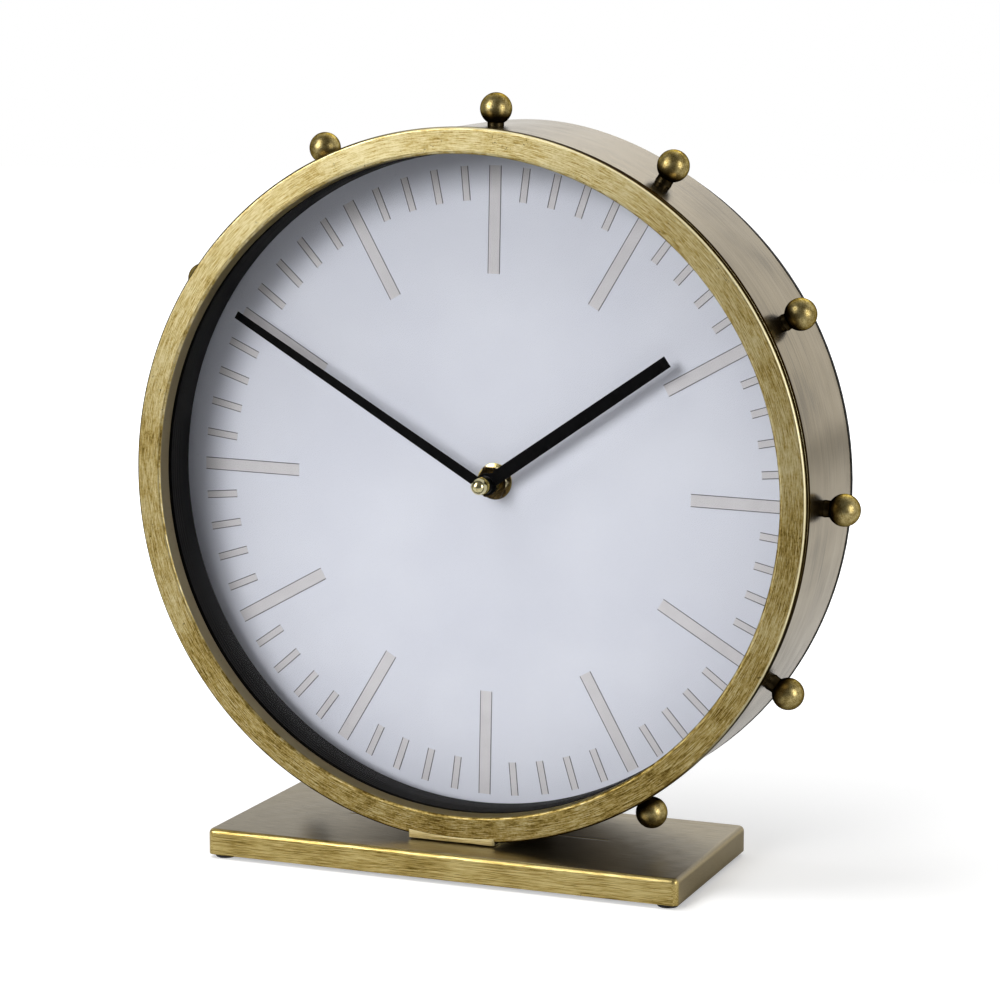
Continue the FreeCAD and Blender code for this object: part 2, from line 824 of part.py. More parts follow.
def blade(name, length, root, tip, hub, bore):
    """A flat tapering hand with a square tip and a round, bored hub, in its own place."""
    body = doc.addObject("PartDesign::Body", f"{name}_blade")
    pad = body.newObject("PartDesign::Pad", f"{name}_pad")
    pad.Profile = outline(
        body,
        "XZ_Plane",
        [(f"0 - {root} / 2", "0"), (f"{root} / 2", "0"), (f"{tip} / 2", length), (f"0 - {tip} / 2", length)],
    )
    pad.Reversed = True
    bind(pad, Length="hand_thick")
    eye = disc(f"{name}_eye", hub, "0", "hand_thick")
    hole = disc(f"{name}_hole", bore, "0 - hand_thick", "2 * hand_thick")
    return cut(f"{name}_plate", fused(f"{name}_blank", body, eye), hole)


def hour_hand():
    """Hour hand, held in its eyelet."""
    plate = blade(
        "hour_hand",
        f"({MARK_OUTER} - hour_hand_short)",
        "hour_root_width",
        "hour_tip_width",
        "hour_hub_radius",
        "eyelet_neck + seat_clear",
    )
    return on_shaft(plate, HOUR_FRONT, "hour_hand_angle")


def hour_bush():
    """Steel eyelet that grips the hour pipe: collar behind the hand, neck through it, rim in front."""
    back = f"({HOUR_FRONT} + hand_thick)"
    return on_shaft(
        turned(
            "hour_bush",
            [
                ("pipe_radius + seat_clear", f"{HOUR_FRONT} - eyelet_rim"),
                ("eyelet_radius", f"{HOUR_FRONT} - eyelet_rim"),
                ("eyelet_radius", HOUR_FRONT),
                ("eyelet_neck", HOUR_FRONT),
                ("eyelet_neck", back),
                ("eyelet_radius", back),
                ("eyelet_radius", f"{back} + eyelet_collar"),
                ("pipe_radius + seat_clear", f"{back} + eyelet_collar"),
            ],
        )
    )


def minute_hand():
    """Minute hand with its black collar behind."""
    plate = blade(
        "minute_hand",
        f"({MARK_OUTER} - minute_hand_short)",
        "minute_root_width",
        "minute_tip_width",
        "minute_hub_radius",
        "thread_radius + seat_clear",
    )
    collar = ring(
        "minute_hand_collar",
        "arbor_radius + seat_clear",
        "minute_collar_radius",
        "hand_thick",
        "hand_thick + minute_collar",
    )
    return on_shaft(fused("minute_hand", plate, collar), MINUTE_FRONT, "minute_hand_angle")


def cap_nut():
    """Domed brass nut on the end of the minute arbor, with a rim at its foot."""
    bore, rim = "(thread_radius + seat_clear)", f"({MINUTE_FRONT} - cap_rim)"
    foot = shaft_ring("cap_foot", bore, "cap_rim_radius", rim, MINUTE_FRONT)
    dome_depth = f"({MINUTE_FRONT} - cap_ball_rise)"
    neck = rod("cap_neck", SHAFT, "cap_neck_radius", dome_depth, rim)
    ball = bind(doc.addObject("Part::Sphere", "cap_ball"), Radius="cap_ball_radius")
    on_shaft(ball, dome_depth)
    thread_end = ahead("(minute_plane + thread_length + seat_clear)")
    hole = rod("cap_hole", SHAFT, bore, thread_end, f"({MINUTE_FRONT} + cut_past)")
    return cut("cap_nut", fused("cap_blank", foot, neck, ball), hole)


# ---------------------------------------------------------------------------
# Movement
# ---------------------------------------------------------------------------

KNOB_GROOVES = 24
BRIDGE_LAYER = 2
WHEEL_TOOTH = {"root": 1.15, "tip": 0.8, "half_widths": (1.2, 0.72, 0.3)}
PINION_TOOTH = {"root": 1.25, "tip": 0.65, "half_widths": (0.95, 0.62, 0.25)}


def spacing(module, *teeth):
    """The distance between two meshing arbors, as a formula of module and tooth counts."""
    return f"({module} * ({' + '.join(teeth)}) / 2)"


# The arbors' places in the drum: each wheel stands off the one that drives it.
MOTION_STEP = spacing("motion_module", "cannon_teeth", "minute_wheel_teeth")
MINUTE_WHEEL = polar(MOTION_STEP, "minute_wheel_bearing", SHAFT)
KNOB = polar(MOTION_STEP, "knob_bearing", MINUTE_WHEEL)
THIRD = polar(spacing("centre_module", "centre_teeth", "third_pinion_teeth"), "third_bearing", SHAFT)
FOURTH = polar(spacing("train_module", "third_teeth", "fourth_pinion_teeth"), "fourth_bearing", THIRD)
FIFTH = polar(spacing("train_module", "fourth_teeth", "fifth_pinion_teeth"), "fifth_bearing", FOURTH)
ROTOR = polar(spacing("train_module", "fifth_teeth", "rotor_teeth"), "rotor_bearing", FIFTH)
TRAIN_SPOTS = [THIRD, FOURTH, FIFTH, ROTOR]
PILLARS = [
    ("(shaft_x + pillar_right)", "(shaft_z + pillar_low)"),
    ("(shaft_x + pillar_right)", "(shaft_z + pillar_high)"),
    ("(shaft_x + pillar_left)", "(shaft_z + pillar_high)"),
]


def layer(number, past="0"):
    """The depth of the front of one layer of wheels, or of a point past it."""
    return f"({CASE} + case_wall + bush_flange + layer_gap + {number} * (wheel_thick + layer_gap) + {past})"


def mesh(phase, teeth, bearing, other_teeth):
    """The angle of one tooth of a wheel that a wheel at a phase drives, at a bearing from it."""
    pitch = 360 / teeth
    part = ((bearing - phase) / pitch) % 1
    return bearing + 180 - 360 / other_teeth * (0.5 - part)


def gear(count, module, phase):
    """A wheel's tooth count, its module and the angle of one tooth."""
    return round(size(count)), size(module), phase


def driven(driver, bearing, count):
    """The gear that a gear drives at a bearing from it."""
    teeth, module, phase = driver
    return gear(count, str(module), mesh(phase, teeth, size(bearing), round(size(count))))


# Motion work: cannon pinion, minute wheel, setting knob's pinion and hour wheel.
CANNON_GEAR = gear("cannon_teeth", "motion_module", size("minute_wheel_bearing"))
MINUTE_GEAR = driven(CANNON_GEAR, "minute_wheel_bearing", "minute_wheel_teeth")
KNOB_GEAR = driven(MINUTE_GEAR, "knob_bearing", "cannon_teeth")
HOUR_MODULE = f"(2 * {MOTION_STEP} / (hour_teeth + minute_pinion_teeth))"
MINUTE_PINION = gear("minute_pinion_teeth", HOUR_MODULE, size("minute_wheel_bearing"))
HOUR_GEAR = driven(MINUTE_PINION, "minute_wheel_bearing + 180", "hour_teeth")

# Going train, from the centre wheel to the rotor.
CENTRE_GEAR = gear("centre_teeth", "centre_module", size("third_bearing"))
THIRD_PINION = driven(CENTRE_GEAR, "third_bearing", "third_pinion_teeth")
THIRD_GEAR = gear("third_teeth", "train_module", size("fourth_bearing"))
FOURTH_PINION = driven(THIRD_GEAR, "fourth_bearing", "fourth_pinion_teeth")
FOURTH_GEAR = gear("fourth_teeth", "train_module", size("fifth_bearing"))
FIFTH_PINION = driven(FOURTH_GEAR, "fifth_bearing", "fifth_pinion_teeth")
FIFTH_GEAR = gear("fifth_teeth", "train_module", size("rotor_bearing"))
ROTOR_PINION = driven(FIFTH_GEAR, "rotor_bearing", "rotor_teeth")


def toothed_wheel(name, spot, start, teeth, module, phase, tooth):
    """A toothed disc one layer thick: six corners a tooth, at root, pitch and tip."""
    pitch_radius = teeth * module / 2
    half = math.pi / (2 * teeth)
    radii = [pitch_radius - tooth["root"] * module, pitch_radius, pitch_radius + tooth["tip"] * module]
    flank = [(r, share * half) for r, share in zip(radii, tooth["half_widths"])]
    centre = FreeCAD.Vector(size(spot[0]), size(f"{FRONT} + {start}"), size(f"{AXIS} + {spot[1]}"))
    corners = []
    for i in range(teeth):
        middle = math.radians(phase) + 4 * half * i
        profile = [(r, middle - a) for r, a in flank] + [(r, middle + a) for r, a in reversed(flank)]
        corners += [centre + FreeCAD.Vector(r * math.cos(a), 0, r * math.sin(a)) for r, a in profile]
    face = Part.Face(Part.makePolygon(corners + corners[:1]))
    return shaped(name, face.extrude(FreeCAD.Vector(0, size("wheel_thick"), 0)))


# Motor: depths of the stator and of the core in front of it, and the coil's height.
STATOR_FRONT = layer(7, "(magnet_length - stator_thick) / 2")
STATOR_BACK = f"({STATOR_FRONT} + stator_thick)"
CORE_FRONT = f"({STATOR_FRONT} - stator_thick)"
COIL_Z = f"({ROTOR[1]} + coil_rise)"
YOKE_LOW = f"({ROTOR[1]} + magnet_radius + stator_gap)"
STATOR_FEET = [
    (f"({ROTOR[0]} {way} (stator_width - stator_leg) / 2)", f"({YOKE_LOW} + stator_yoke / 2)")
    for way in "-+"
]
CIRCUIT_FEET = [
    (f"({CIRCUIT_LEFT} + 2 * stand_radius)", f"({CIRCUIT_LOW} + 2 * stand_radius)"),
    (
        f"({CIRCUIT_LEFT} + circuit_width - 2 * stand_radius)",
        f"({CIRCUIT_LOW} + circuit_height - 2 * stand_radius)",
    ),
]


def train_arbor(name, spot, front_layer, last_layer):
    """A train wheel's arbor with a thinner pivot at each end, in the bridge and in the back's boss."""
    start, end = layer(front_layer), layer(last_layer, "wheel_thick")
    bridge = layer(BRIDGE_LAYER, "running_clear")
    return [
        rod(f"{name}_arbor", spot, "wheel_arbor_radius", start, end),
        rod(f"{name}_pivots", spot, "pivot_radius", bridge, f"({REAR_WALL} - running_clear)"),
    ]


def case_block(name, inset, front, back):
    """A box round the shaft inside the case's outline by an inset, its edges along Y rounded."""
    body = doc.addObject("PartDesign::Body", name)
    box = body.newObject("PartDesign::AdditiveBox", f"{name}_box")
    side = f"case_size - 2 * {inset}"
    bind(box, Length=side, Height=side, Width=f"{back} - {front}")
    doc.recompute()
    rounding = body.newObject("PartDesign::Fillet", f"{name}_corners")
    rounding.Base = (box, edges_where(box.Shape, lambda b: b.YLength > max(b.XLength, b.ZLength)))
    bind(rounding, Radius=f"case_corner - {inset}")
    corner = f"- {CASE_HALF} + {inset}"
    return place(body, f"shaft_x {corner}", front, f"shaft_z {corner}")


def bay_wall(name, front, back):
    """The wall between battery and wheels, short of the sides where the contact strips pass."""
    reach = f"({CASE_INSIDE} - strip_gap)"
    left, right = f"(shaft_x - {reach})", f"(shaft_x + {reach})"
    return block(name, left, right, front, back, BAY_ROOF, f"({BAY_ROOF} + case_wall)")


def case_front():
    """Front half of the movement's case: tray, bay wall, bridge pillars and wheel posts."""
    inside = f"({CASE} + case_wall)"
    split = f"({CASE} + case_split)"
    outer = case_block("case_front_outer", "0", CASE, split)
    hollow = case_block("case_front_hollow", "case_wall", inside, f"({split} + case_wall)")
    hole = drill("case_front_hole", SHAFT, BUSH_SEAT, CASE, inside)
    shell = cut("case_front_shell", outer, hollow, hole)
    pillars = [
        rod(f"case_pillar_{i}", spot, "pillar_radius", CASE, layer(BRIDGE_LAYER))
        for i, spot in enumerate(PILLARS)
    ]
    shoulder = layer(0, "0 - layer_gap / 2")
    post_end = layer(BRIDGE_LAYER, "0 - layer_gap / 2")
    post = rod("case_post", MINUTE_WHEEL, "post_radius", CASE, post_end)
    seat = rod("case_post_seat", MINUTE_WHEEL, "2 * post_radius", CASE, shoulder)
    knob_boss = rod("case_knob_boss", KNOB, "boss_radius", CASE, shoulder)
    wall = bay_wall("case_front_bay", inside, split)
    solid = fused("case_front_solid", shell, wall, post, seat, knob_boss, *pillars)
    pivot = rod("case_knob_hole", KNOB, "wheel_arbor_radius + running_clear", inside, layer(0))
    return cut("case_front", solid, pivot)


def case_back():
    """Back half of the case: bosses for the train, posts for motor and circuit, open battery bay."""
    split = f"({CASE} + case_split)"
    outer = case_block("case_back_outer", "0", split, CASE_END)
    hollow = case_block("case_back_hollow", "case_wall", f"({split} - case_wall)", REAR_WALL)
    reach = f"({CASE_INSIDE} - bay_lip)"
    left, right = f"(shaft_x - {reach})", f"(shaft_x + {reach})"
    before, beyond = f"({REAR_WALL} - cut_past)", f"({CASE_END} + cut_past)"
    opening = block("case_bay_opening", left, right, before, beyond, BAY_FLOOR, BAY_ROOF)
    shell = cut("case_back_shell", outer, hollow, opening)
    bosses = [
        rod(f"case_boss_{i}", spot, "boss_radius", BOSS_FRONT, CASE_END)
        for i, spot in enumerate([SHAFT, *TRAIN_SPOTS])
    ]
    stator_posts = [
        rod(f"case_stator_post_{i}", spot, "stand_radius", STATOR_BACK, CASE_END)
        for i, spot in enumerate(STATOR_FEET)
    ]
    circuit_posts = [
        rod(f"case_circuit_post_{i}", spot, "stand_radius", CIRCUIT_BACK, CASE_END)
        for i, spot in enumerate(CIRCUIT_FEET)
    ]
    wall = bay_wall("case_back_bay", split, REAR_WALL)
    solid = fused("case_back_solid", shell, wall, *bosses, *stator_posts, *circuit_posts)
    boss_face = f"({BOSS_FRONT} - cut_past)"
    pivots = [
        rod(f"case_pivot_{i}", spot, "pivot_radius + running_clear", boss_face, REAR_WALL)
        for i, spot in enumerate(TRAIN_SPOTS)
    ]
    centre = rod("case_centre_pivot", SHAFT, "wheel_arbor_radius + running_clear", boss_face, REAR_WALL)
    knob = drill("case_knob_opening", KNOB, "knob_arbor_radius + running_clear", REAR_WALL, CASE_END)
    return cut("case_back", solid, centre, knob, *pivots)


def wheel_bridge():
    """Plate on the pillars that carries the train's front pivots and lets the centre arbor through."""
    front, back = layer(BRIDGE_LAYER), layer(BRIDGE_LAYER, "wheel_thick")
    low, high = f"({PILLARS[0][1]} - 2 * pillar_radius)", f"({PILLARS[1][1]} + 2 * pillar_radius)"
    left, right = f"({PILLARS[2][0]} - 2 * pillar_radius)", f"({PILLARS[0][0]} + 2 * pillar_radius)"
    plate = block("wheel_bridge_plate", left, right, front, back, low, high)
    holes = [
        drill(f"bridge_hole_{i}", spot, "pivot_radius + running_clear", front, back)
        for i, spot in enumerate(TRAIN_SPOTS)
    ]
    centre = drill("bridge_centre", SHAFT, "clutch_radius + running_clear", front, back)
    return cut("wheel_bridge", plate, centre, *holes)


def hour_wheel():
    """Hour wheel and the pipe that carries the hour hand through the bush."""
    bore = "(arbor_radius + running_clear)"
    teeth = toothed_wheel("hour_wheel_teeth", SHAFT, layer(0), *HOUR_GEAR, WHEEL_TOOTH)
    pipe_front = f"({HOUR_FRONT} - eyelet_rim)"
    pipe = rod("hour_pipe", SHAFT, "pipe_radius", pipe_front, layer(0, "wheel_thick"))
    hole = drill("hour_pipe_bore", SHAFT, bore, pipe_front, layer(0, "wheel_thick"))
    return cut("hour_wheel", fused("hour_wheel_blank", teeth, pipe), hole)


def minute_arbor():
    """Steel arbor of the minute hand: thread, body, cannon pinion, clutch seat and rear pivot."""
    shoulder = ahead("minute_plane")
    return fused(
        "minute_arbor",
        rod("minute_thread", SHAFT, "thread_radius", f"({shoulder} - thread_length)", shoulder),
        rod("minute_body", SHAFT, "arbor_radius", shoulder, layer(1, "wheel_thick")),
        toothed_wheel("cannon_pinion", SHAFT, layer(1), *CANNON_GEAR, PINION_TOOTH),
        rod("clutch_seat", SHAFT, "clutch_radius", layer(1), layer(3, "wheel_thick")),
        rod("rear_pivot", SHAFT, "wheel_arbor_radius", layer(3), f"({REAR_WALL} - running_clear)"),
    )


def minute_wheel():
    """Minute wheel with its pinion, turning on a post of the case."""
    wheel = toothed_wheel("minute_wheel_teeth", MINUTE_WHEEL, layer(1), *MINUTE_GEAR, WHEEL_TOOTH)
    pinion = toothed_wheel("minute_pinion", MINUTE_WHEEL, layer(0), *MINUTE_PINION, PINION_TOOTH)
    hub = rod("minute_wheel_hub", MINUTE_WHEEL, "2 * post_radius", layer(0), layer(1))
    bore = rod(
        "minute_wheel_bore", MINUTE_WHEEL, "post_radius + running_clear", CASE, layer(BRIDGE_LAYER)
    )
    return cut("minute_wheel", fused("minute_wheel_blank", wheel, pinion, hub), bore)


def setting_knob():
    """Grooved knob behind the case, its arbor and the pinion that drives the minute wheel."""
    start = f"({CASE_END} + knob_stand)"
    end = f"({start} + knob_height)"
    head = rod("knob_head", KNOB, "knob_radius", start, end)
    rim = (f"({KNOB[0]} + knob_radius)", KNOB[1])
    groove = drill("knob_groove", rim, "knob_groove / 2", start, end)
    turns = [about_axis(360 * i / KNOB_GROOVES, KNOB) for i in range(KNOB_GROOVES)]
    grip = cut("knob_grip", head, repeated("knob_grooves_all", groove, turns))
    pivot_front = f"({CASE} + case_wall + running_clear)"
    return fused(
        "setting_knob",
        grip,
        toothed_wheel("knob_pinion", KNOB, layer(1), *KNOB_GEAR, PINION_TOOTH),
        rod("knob_pivot", KNOB, "wheel_arbor_radius", pivot_front, layer(1)),
        rod("knob_arbor", KNOB, "knob_arbor_radius", layer(1), end),
    )


def centre_wheel():
    """Centre wheel, gripping the minute arbor like a clutch."""
    teeth = toothed_wheel("centre_wheel_teeth", SHAFT, layer(3), *CENTRE_GEAR, WHEEL_TOOTH)
    hole = drill("centre_bore", SHAFT, "clutch_radius + running_clear", layer(3), layer(3, "wheel_thick"))
    return cut("centre_wheel", teeth, hole)


def train_wheel(name, spot, wheel_layer, wheel_gear, pinion_gear):
    """A wheel and, one layer in front of it, its pinion on one arbor."""
    wheel = toothed_wheel(f"{name}_teeth", spot, layer(wheel_layer), *wheel_gear, WHEEL_TOOTH)
    pinion = toothed_wheel(f"{name}_pinion", spot, layer(wheel_layer - 1), *pinion_gear, PINION_TOOTH)
    return fused(name, wheel, pinion, *train_arbor(name, spot, 3, wheel_layer))


def rotor():
    """Rotor: pinion and round magnet on one arbor."""
    pinion = toothed_wheel("rotor_pinion", ROTOR, layer(6), *ROTOR_PINION, PINION_TOOTH)
    magnet = rod("rotor_magnet", ROTOR, "magnet_radius", layer(7), layer(7, "magnet_length"))
    return fused("rotor", pinion, magnet, *train_arbor("rotor", ROTOR, 3, 7))


def stator():
    """Two soft-iron legs joined round the rotor, with a slot between their tops."""
    ring_inner = "(magnet_radius + stator_gap)"
    ring_outer = f"({ring_inner} + stator_ring)"
    tube = place(ring("stator_eye", "0", ring_outer, STATOR_FRONT, STATOR_BACK), ROTOR[0], "0", ROTOR[1])
    left, right = f"({ROTOR[0]} - stator_width / 2)", f"({ROTOR[0]} + stator_width / 2)"
    yoke_top = f"({YOKE_LOW} + stator_yoke)"
    yoke = block("stator_yoke_bar", left, right, STATOR_FRONT, STATOR_BACK, YOKE_LOW, yoke_top)
    top = f"({COIL_Z} + coil_core)"
    legs = [
        block("stator_left_leg", left, f"({left} + stator_leg)", STATOR_FRONT, STATOR_BACK, YOKE_LOW, top),
        block("stator_right_leg", f"({right} - stator_leg)", right, STATOR_FRONT, STATOR_BACK, YOKE_LOW, top),
    ]
    bore = drill("stator_bore", ROTOR, ring_inner, STATOR_FRONT, STATOR_BACK)
    half_slot = "(stator_gap / 2)"
    slot = block(
        "stator_slot",
        f"({ROTOR[0]} - {half_slot})",
        f"({ROTOR[0]} + {half_slot})",
        f"({STATOR_FRONT} - cut_past)",
        f"({STATOR_BACK} + cut_past)",
        ROTOR[1],
        f"({yoke_top} + cut_past)",
    )
    return cut("stator", fused("stator_blank", tube, yoke, *legs), bore, slot)


def coil_core():
    """Soft-iron bar through the coil, lying on the stator's legs."""
    left, right = f"({ROTOR[0]} - stator_width / 2)", f"({ROTOR[0]} + stator_width / 2)"
    low, high = f"({COIL_Z} - coil_core / 2)", f"({COIL_Z} + coil_core / 2)"
    return block("coil_core", left, right, CORE_FRONT, STATOR_FRONT, low, high)


def along_x(body):
    """Turns a solid made about its own Y axis to lie along X at the coil's place."""
    return place(body, ROTOR[0], f"({CORE_FRONT} + stator_thick / 2)", COIL_Z, (0, 0, 1), "0 - 90")


def coil_bobbin():
    """Spool of the coil."""
    end, inside = "(coil_length / 2)", "(coil_length / 2 - 2 * bobbin_wall)"
    tube = "(coil_bore + bobbin_wall)"
    body = turned(
        "coil_bobbin",
        [
            ("coil_bore", f"0 - {end}"),
            ("coil_radius", f"0 - {end}"),
            ("coil_radius", f"0 - {inside}"),
            (tube, f"0 - {inside}"),
            (tube, inside),
            ("coil_radius", inside),
            ("coil_radius", end),
            ("coil_bore", end),
        ],
    )
    return along_x(body)


def coil_winding():
    """Copper winding between the spool's flanges."""
    inside = "(coil_length / 2 - 2 * bobbin_wall)"
    tube, top = "(coil_bore + bobbin_wall)", "(coil_radius - bobbin_wall)"
    return along_x(ring("coil_winding", tube, top, f"0 - {inside}", inside))


def battery():
    """Cylindrical cell with its raised button to the right."""
    middle = "(battery_length - button_length)"
    body = turned(
        "battery",
        [
            ("0", "0"),
            ("button_radius", "0"),
            ("button_radius", "button_length"),
            ("battery_radius", "button_length"),
            ("battery_radius", f"button_length + {middle}"),
            ("0", f"button_length + {middle}"),
        ],
    )
    return place(body, BATTERY_RIGHT, BATTERY_Y, BATTERY_Z, (0, 0, 1), "90")


def contact_plate(name, left, right, top):
    """A flat contact on one end wall of the bay, with a riser up to a height."""
    half = "(contact_width / 2)"
    front, back = f"({BATTERY_Y} - {half})", f"({BATTERY_Y} + {half})"
    low, high = f"({BATTERY_Z} - {half})", f"({BATTERY_Z} + {half})"
    riser_back = f"({STRIP_FRONT} + strip_width)"
    return [
        block(f"{name}_plate", left, right, front, back, low, high),
        block(f"{name}_riser", left, right, STRIP_FRONT, riser_back, BATTERY_Z, top),
    ]


def contact_positive():
    """Contact with a bump for the cell's button, its riser ending at the circuit board."""
    right = f"(shaft_x + {CASE_INSIDE})"
    left = f"({right} - contact_thick)"
    bump = turned(
        "contact_bump",
        [("0", "0"), ("button_radius / 2", "0"), ("button_radius", "contact_bump"), ("0", "contact_bump")],
    )
    place(bump, f"({left} - contact_bump)", BATTERY_Y, BATTERY_Z, (0, 0, 1), "0 - 90")
    top = f"({CIRCUIT_LOW} + strip_width)"
    return fused("contact_positive", *contact_plate("positive", left, right, top), bump)


def contact_negative():
    """Contact with a conical spring and a strip over the bay wall to the circuit board."""
    left = f"(shaft_x - {CASE_INSIDE})"
    right = f"({left} + contact_thick)"
    reach = f"({BATTERY_RIGHT} - battery_length - bay_clear - {right})"
    spring = turned(
        "contact_spring",
        [
            ("spring_radius - contact_thick", "0"),
            ("spring_radius", "0"),
            ("spring_tip", reach),
            ("spring_tip - contact_thick", reach),
        ],
    )
    place(spring, right, BATTERY_Y, BATTERY_Z, (0, 0, 1), "0 - 90")
    roof = f"({BAY_ROOF} + case_wall)"
    top = f"({roof} + contact_thick)"
    strip_back = f"({STRIP_FRONT} + strip_width)"
    tab_left = f"({CIRCUIT_LEFT} + strip_width)"
    tab_right = f"({tab_left} + contact_thick)"
    runner = block("negative_runner", left, tab_right, STRIP_FRONT, strip_back, roof, top)
    tab = block("negative_tab", tab_left, tab_right, STRIP_FRONT, strip_back, roof, CIRCUIT_LOW)
    return fused("contact_negative", *contact_plate("negative", left, right, top), spring, runner, tab)


def circuit_board():
    """Small circuit board with a black blob over its chip."""
    top = f"({CIRCUIT_LOW} + circuit_height)"
    right = f"({CIRCUIT_LEFT} + circuit_width)"
    plate = block("circuit_plate", CIRCUIT_LEFT, right, CIRCUIT_FRONT, CIRCUIT_BACK, CIRCUIT_LOW, top)
    chip = (f"({CIRCUIT_LEFT} + 2 * chip_radius)", f"({CIRCUIT_LOW} + circuit_height / 2)")
    blob = rod("circuit_blob", chip, "chip_radius", f"({CIRCUIT_FRONT} - chip_height)", CIRCUIT_FRONT)
    return fused("circuit_board", plate, blob)


def quartz_crystal():
    """Small steel can that lies on the circuit board."""
    can = doc.addObject("Part::Cylinder", "quartz_crystal")
    bind(can, Radius="crystal_radius", Height="crystal_length")
    x = f"({CIRCUIT_LEFT} + circuit_width - 3 * crystal_radius)"
    return place(can, x, f"({CIRCUIT_FRONT} - crystal_radius)", f"({CIRCUIT_LOW} + 2 * crystal_radius)")


# ---------------------------------------------------------------------------
# The whole clock
# ---------------------------------------------------------------------------

keep("bezel_ring", bezel_ring())
keep("drum_band", drum_band())
for hour in STUD_HOURS:
    keep(f"ball_stud_{hour}", ball_stud(hour))
keep("base_tray", base_tray())
keep("base_bottom", base_bottom())
keep("saddle", saddle())
keep("rubber_feet", rubber_feet())
keep("saddle_screws", saddle_screws())
keep("saddle_nuts", saddle_nuts())

keep("glass_gasket", place(ring("glass_gasket", GASKET_INSIDE, FITTED_RADIUS, "bezel_depth", GLASS_FRONT)))
keep("glass", place(disc("glass", FITTED_RADIUS, GLASS_FRONT, GLASS_BACK)))
keep("spacer_ring", spacer_ring())
keep("dial_card", dial_card())
keep("dial_marks", dial_marks())
keep("dial_board", dial_board())
keep("clamp_brackets", brackets("clamp_brackets", BOARD_BACK, "+", "clamp_screw_radius + seat_clear"))
keep("clamp_screws", clamp_screws())
keep("back_lugs", brackets("back_lugs", BAND_END, "-", "back_screw_radius + seat_clear"))
keep("back_board", back_board())
keep("back_screws", back_screws())

keep("bush", bush())
keep("rubber_washer", shaft_ring("rubber_washer", BUSH_SEAT, "rubber_radius", BOARD_BACK, CASE))
WASHER_FRONT = ahead("washer_thick")
keep("brass_washer", shaft_ring("brass_washer", BUSH_SEAT, "washer_radius", WASHER_FRONT, "dial_depth"))
keep("hex_nut", hex_nut())
keep("hour_hand", hour_hand())
keep("hour_bush", hour_bush())
keep("hour_wheel", hour_wheel())
keep("minute_hand", minute_hand())
keep("minute_arbor", minute_arbor())
keep("cap_nut", cap_nut())

keep("case_front", case_front())
keep("case_back", case_back())
keep("wheel_bridge", wheel_bridge())
keep("minute_wheel", minute_wheel())
keep("setting_knob", setting_knob())
keep("centre_wheel", centre_wheel())
keep("third_wheel", train_wheel("third_wheel", THIRD, 4, THIRD_GEAR, THIRD_PINION))
keep("fourth_wheel", train_wheel("fourth_wheel", FOURTH, 5, FOURTH_GEAR, FOURTH_PINION))
keep("fifth_wheel", train_wheel("fifth_wheel", FIFTH, 6, FIFTH_GEAR, FIFTH_PINION))
keep("rotor", rotor())
keep("stator", stator())
keep("coil_core", coil_core())
keep("coil_bobbin", coil_bobbin())
keep("coil_winding", coil_winding())
keep("battery", battery())
keep("contact_positive", contact_positive())
keep("contact_negative", contact_negative())
keep("circuit_board", circuit_board())
keep("quartz_crystal", quartz_crystal())

doc.recompute()
failed = [thing.Name for thing in doc.Objects if {"Invalid", "Error"} & set(thing.State)]
if failed:
    raise RuntimeError(f"objects that did not compute: {failed}")
for label, thing in parts.items():
    if thing.Shape.isNull() or not thing.Shape.isValid():
        raise RuntimeError(f"{label} has no valid shape")

os.makedirs("parts", exist_ok=True)
for label, thing in parts.items():
    thing.Shape.exportStep(f"parts/{label}.step")
    print(f"{label}: {len(thing.Shape.Solids)} solids, {thing.Shape.Volume:.1f} mm3")
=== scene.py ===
"""Looks of a round brass desk clock on a plate foot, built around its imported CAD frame.

Every length is in metres, in the frame's own axes: X to the right, Y to the back, Z up.
Around the drum, "across" is the distance from its axis and "depth" counts from the bezel's front face.
"""

import json
import logging
import math
from collections.abc import Callable
from dataclasses import dataclass, field
from enum import Enum
from functools import partial

import bmesh
import bpy
import numpy as np
from mathutils import Matrix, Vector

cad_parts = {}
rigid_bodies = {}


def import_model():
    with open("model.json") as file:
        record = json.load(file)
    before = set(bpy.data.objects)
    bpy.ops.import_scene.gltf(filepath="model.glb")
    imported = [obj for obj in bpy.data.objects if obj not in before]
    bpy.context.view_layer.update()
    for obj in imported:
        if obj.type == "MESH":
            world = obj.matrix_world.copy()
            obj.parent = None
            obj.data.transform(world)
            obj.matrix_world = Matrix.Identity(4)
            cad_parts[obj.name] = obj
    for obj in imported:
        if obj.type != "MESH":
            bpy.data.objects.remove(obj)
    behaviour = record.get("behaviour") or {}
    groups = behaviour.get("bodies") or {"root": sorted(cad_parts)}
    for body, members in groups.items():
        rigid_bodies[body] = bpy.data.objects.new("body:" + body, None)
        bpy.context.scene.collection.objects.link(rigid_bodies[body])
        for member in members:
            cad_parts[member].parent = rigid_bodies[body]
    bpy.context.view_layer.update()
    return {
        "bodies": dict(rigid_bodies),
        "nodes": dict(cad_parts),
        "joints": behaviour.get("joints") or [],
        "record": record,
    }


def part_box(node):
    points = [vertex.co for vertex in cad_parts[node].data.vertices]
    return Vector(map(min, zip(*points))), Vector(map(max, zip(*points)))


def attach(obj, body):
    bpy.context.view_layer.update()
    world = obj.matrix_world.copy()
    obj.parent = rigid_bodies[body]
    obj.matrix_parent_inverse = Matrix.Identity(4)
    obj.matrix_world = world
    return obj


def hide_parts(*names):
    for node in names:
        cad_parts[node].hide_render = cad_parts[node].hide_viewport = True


MM = 0.001
TURN = 2.0 * math.pi
LOG = logging.getLogger("desk_clock")

Points = np.ndarray
Socket = bpy.types.NodeSocket
Inputs = dict[str | int, object] | tuple[object, ...]
AddNode = Callable[..., Socket]


# --- Colours and nodes ---


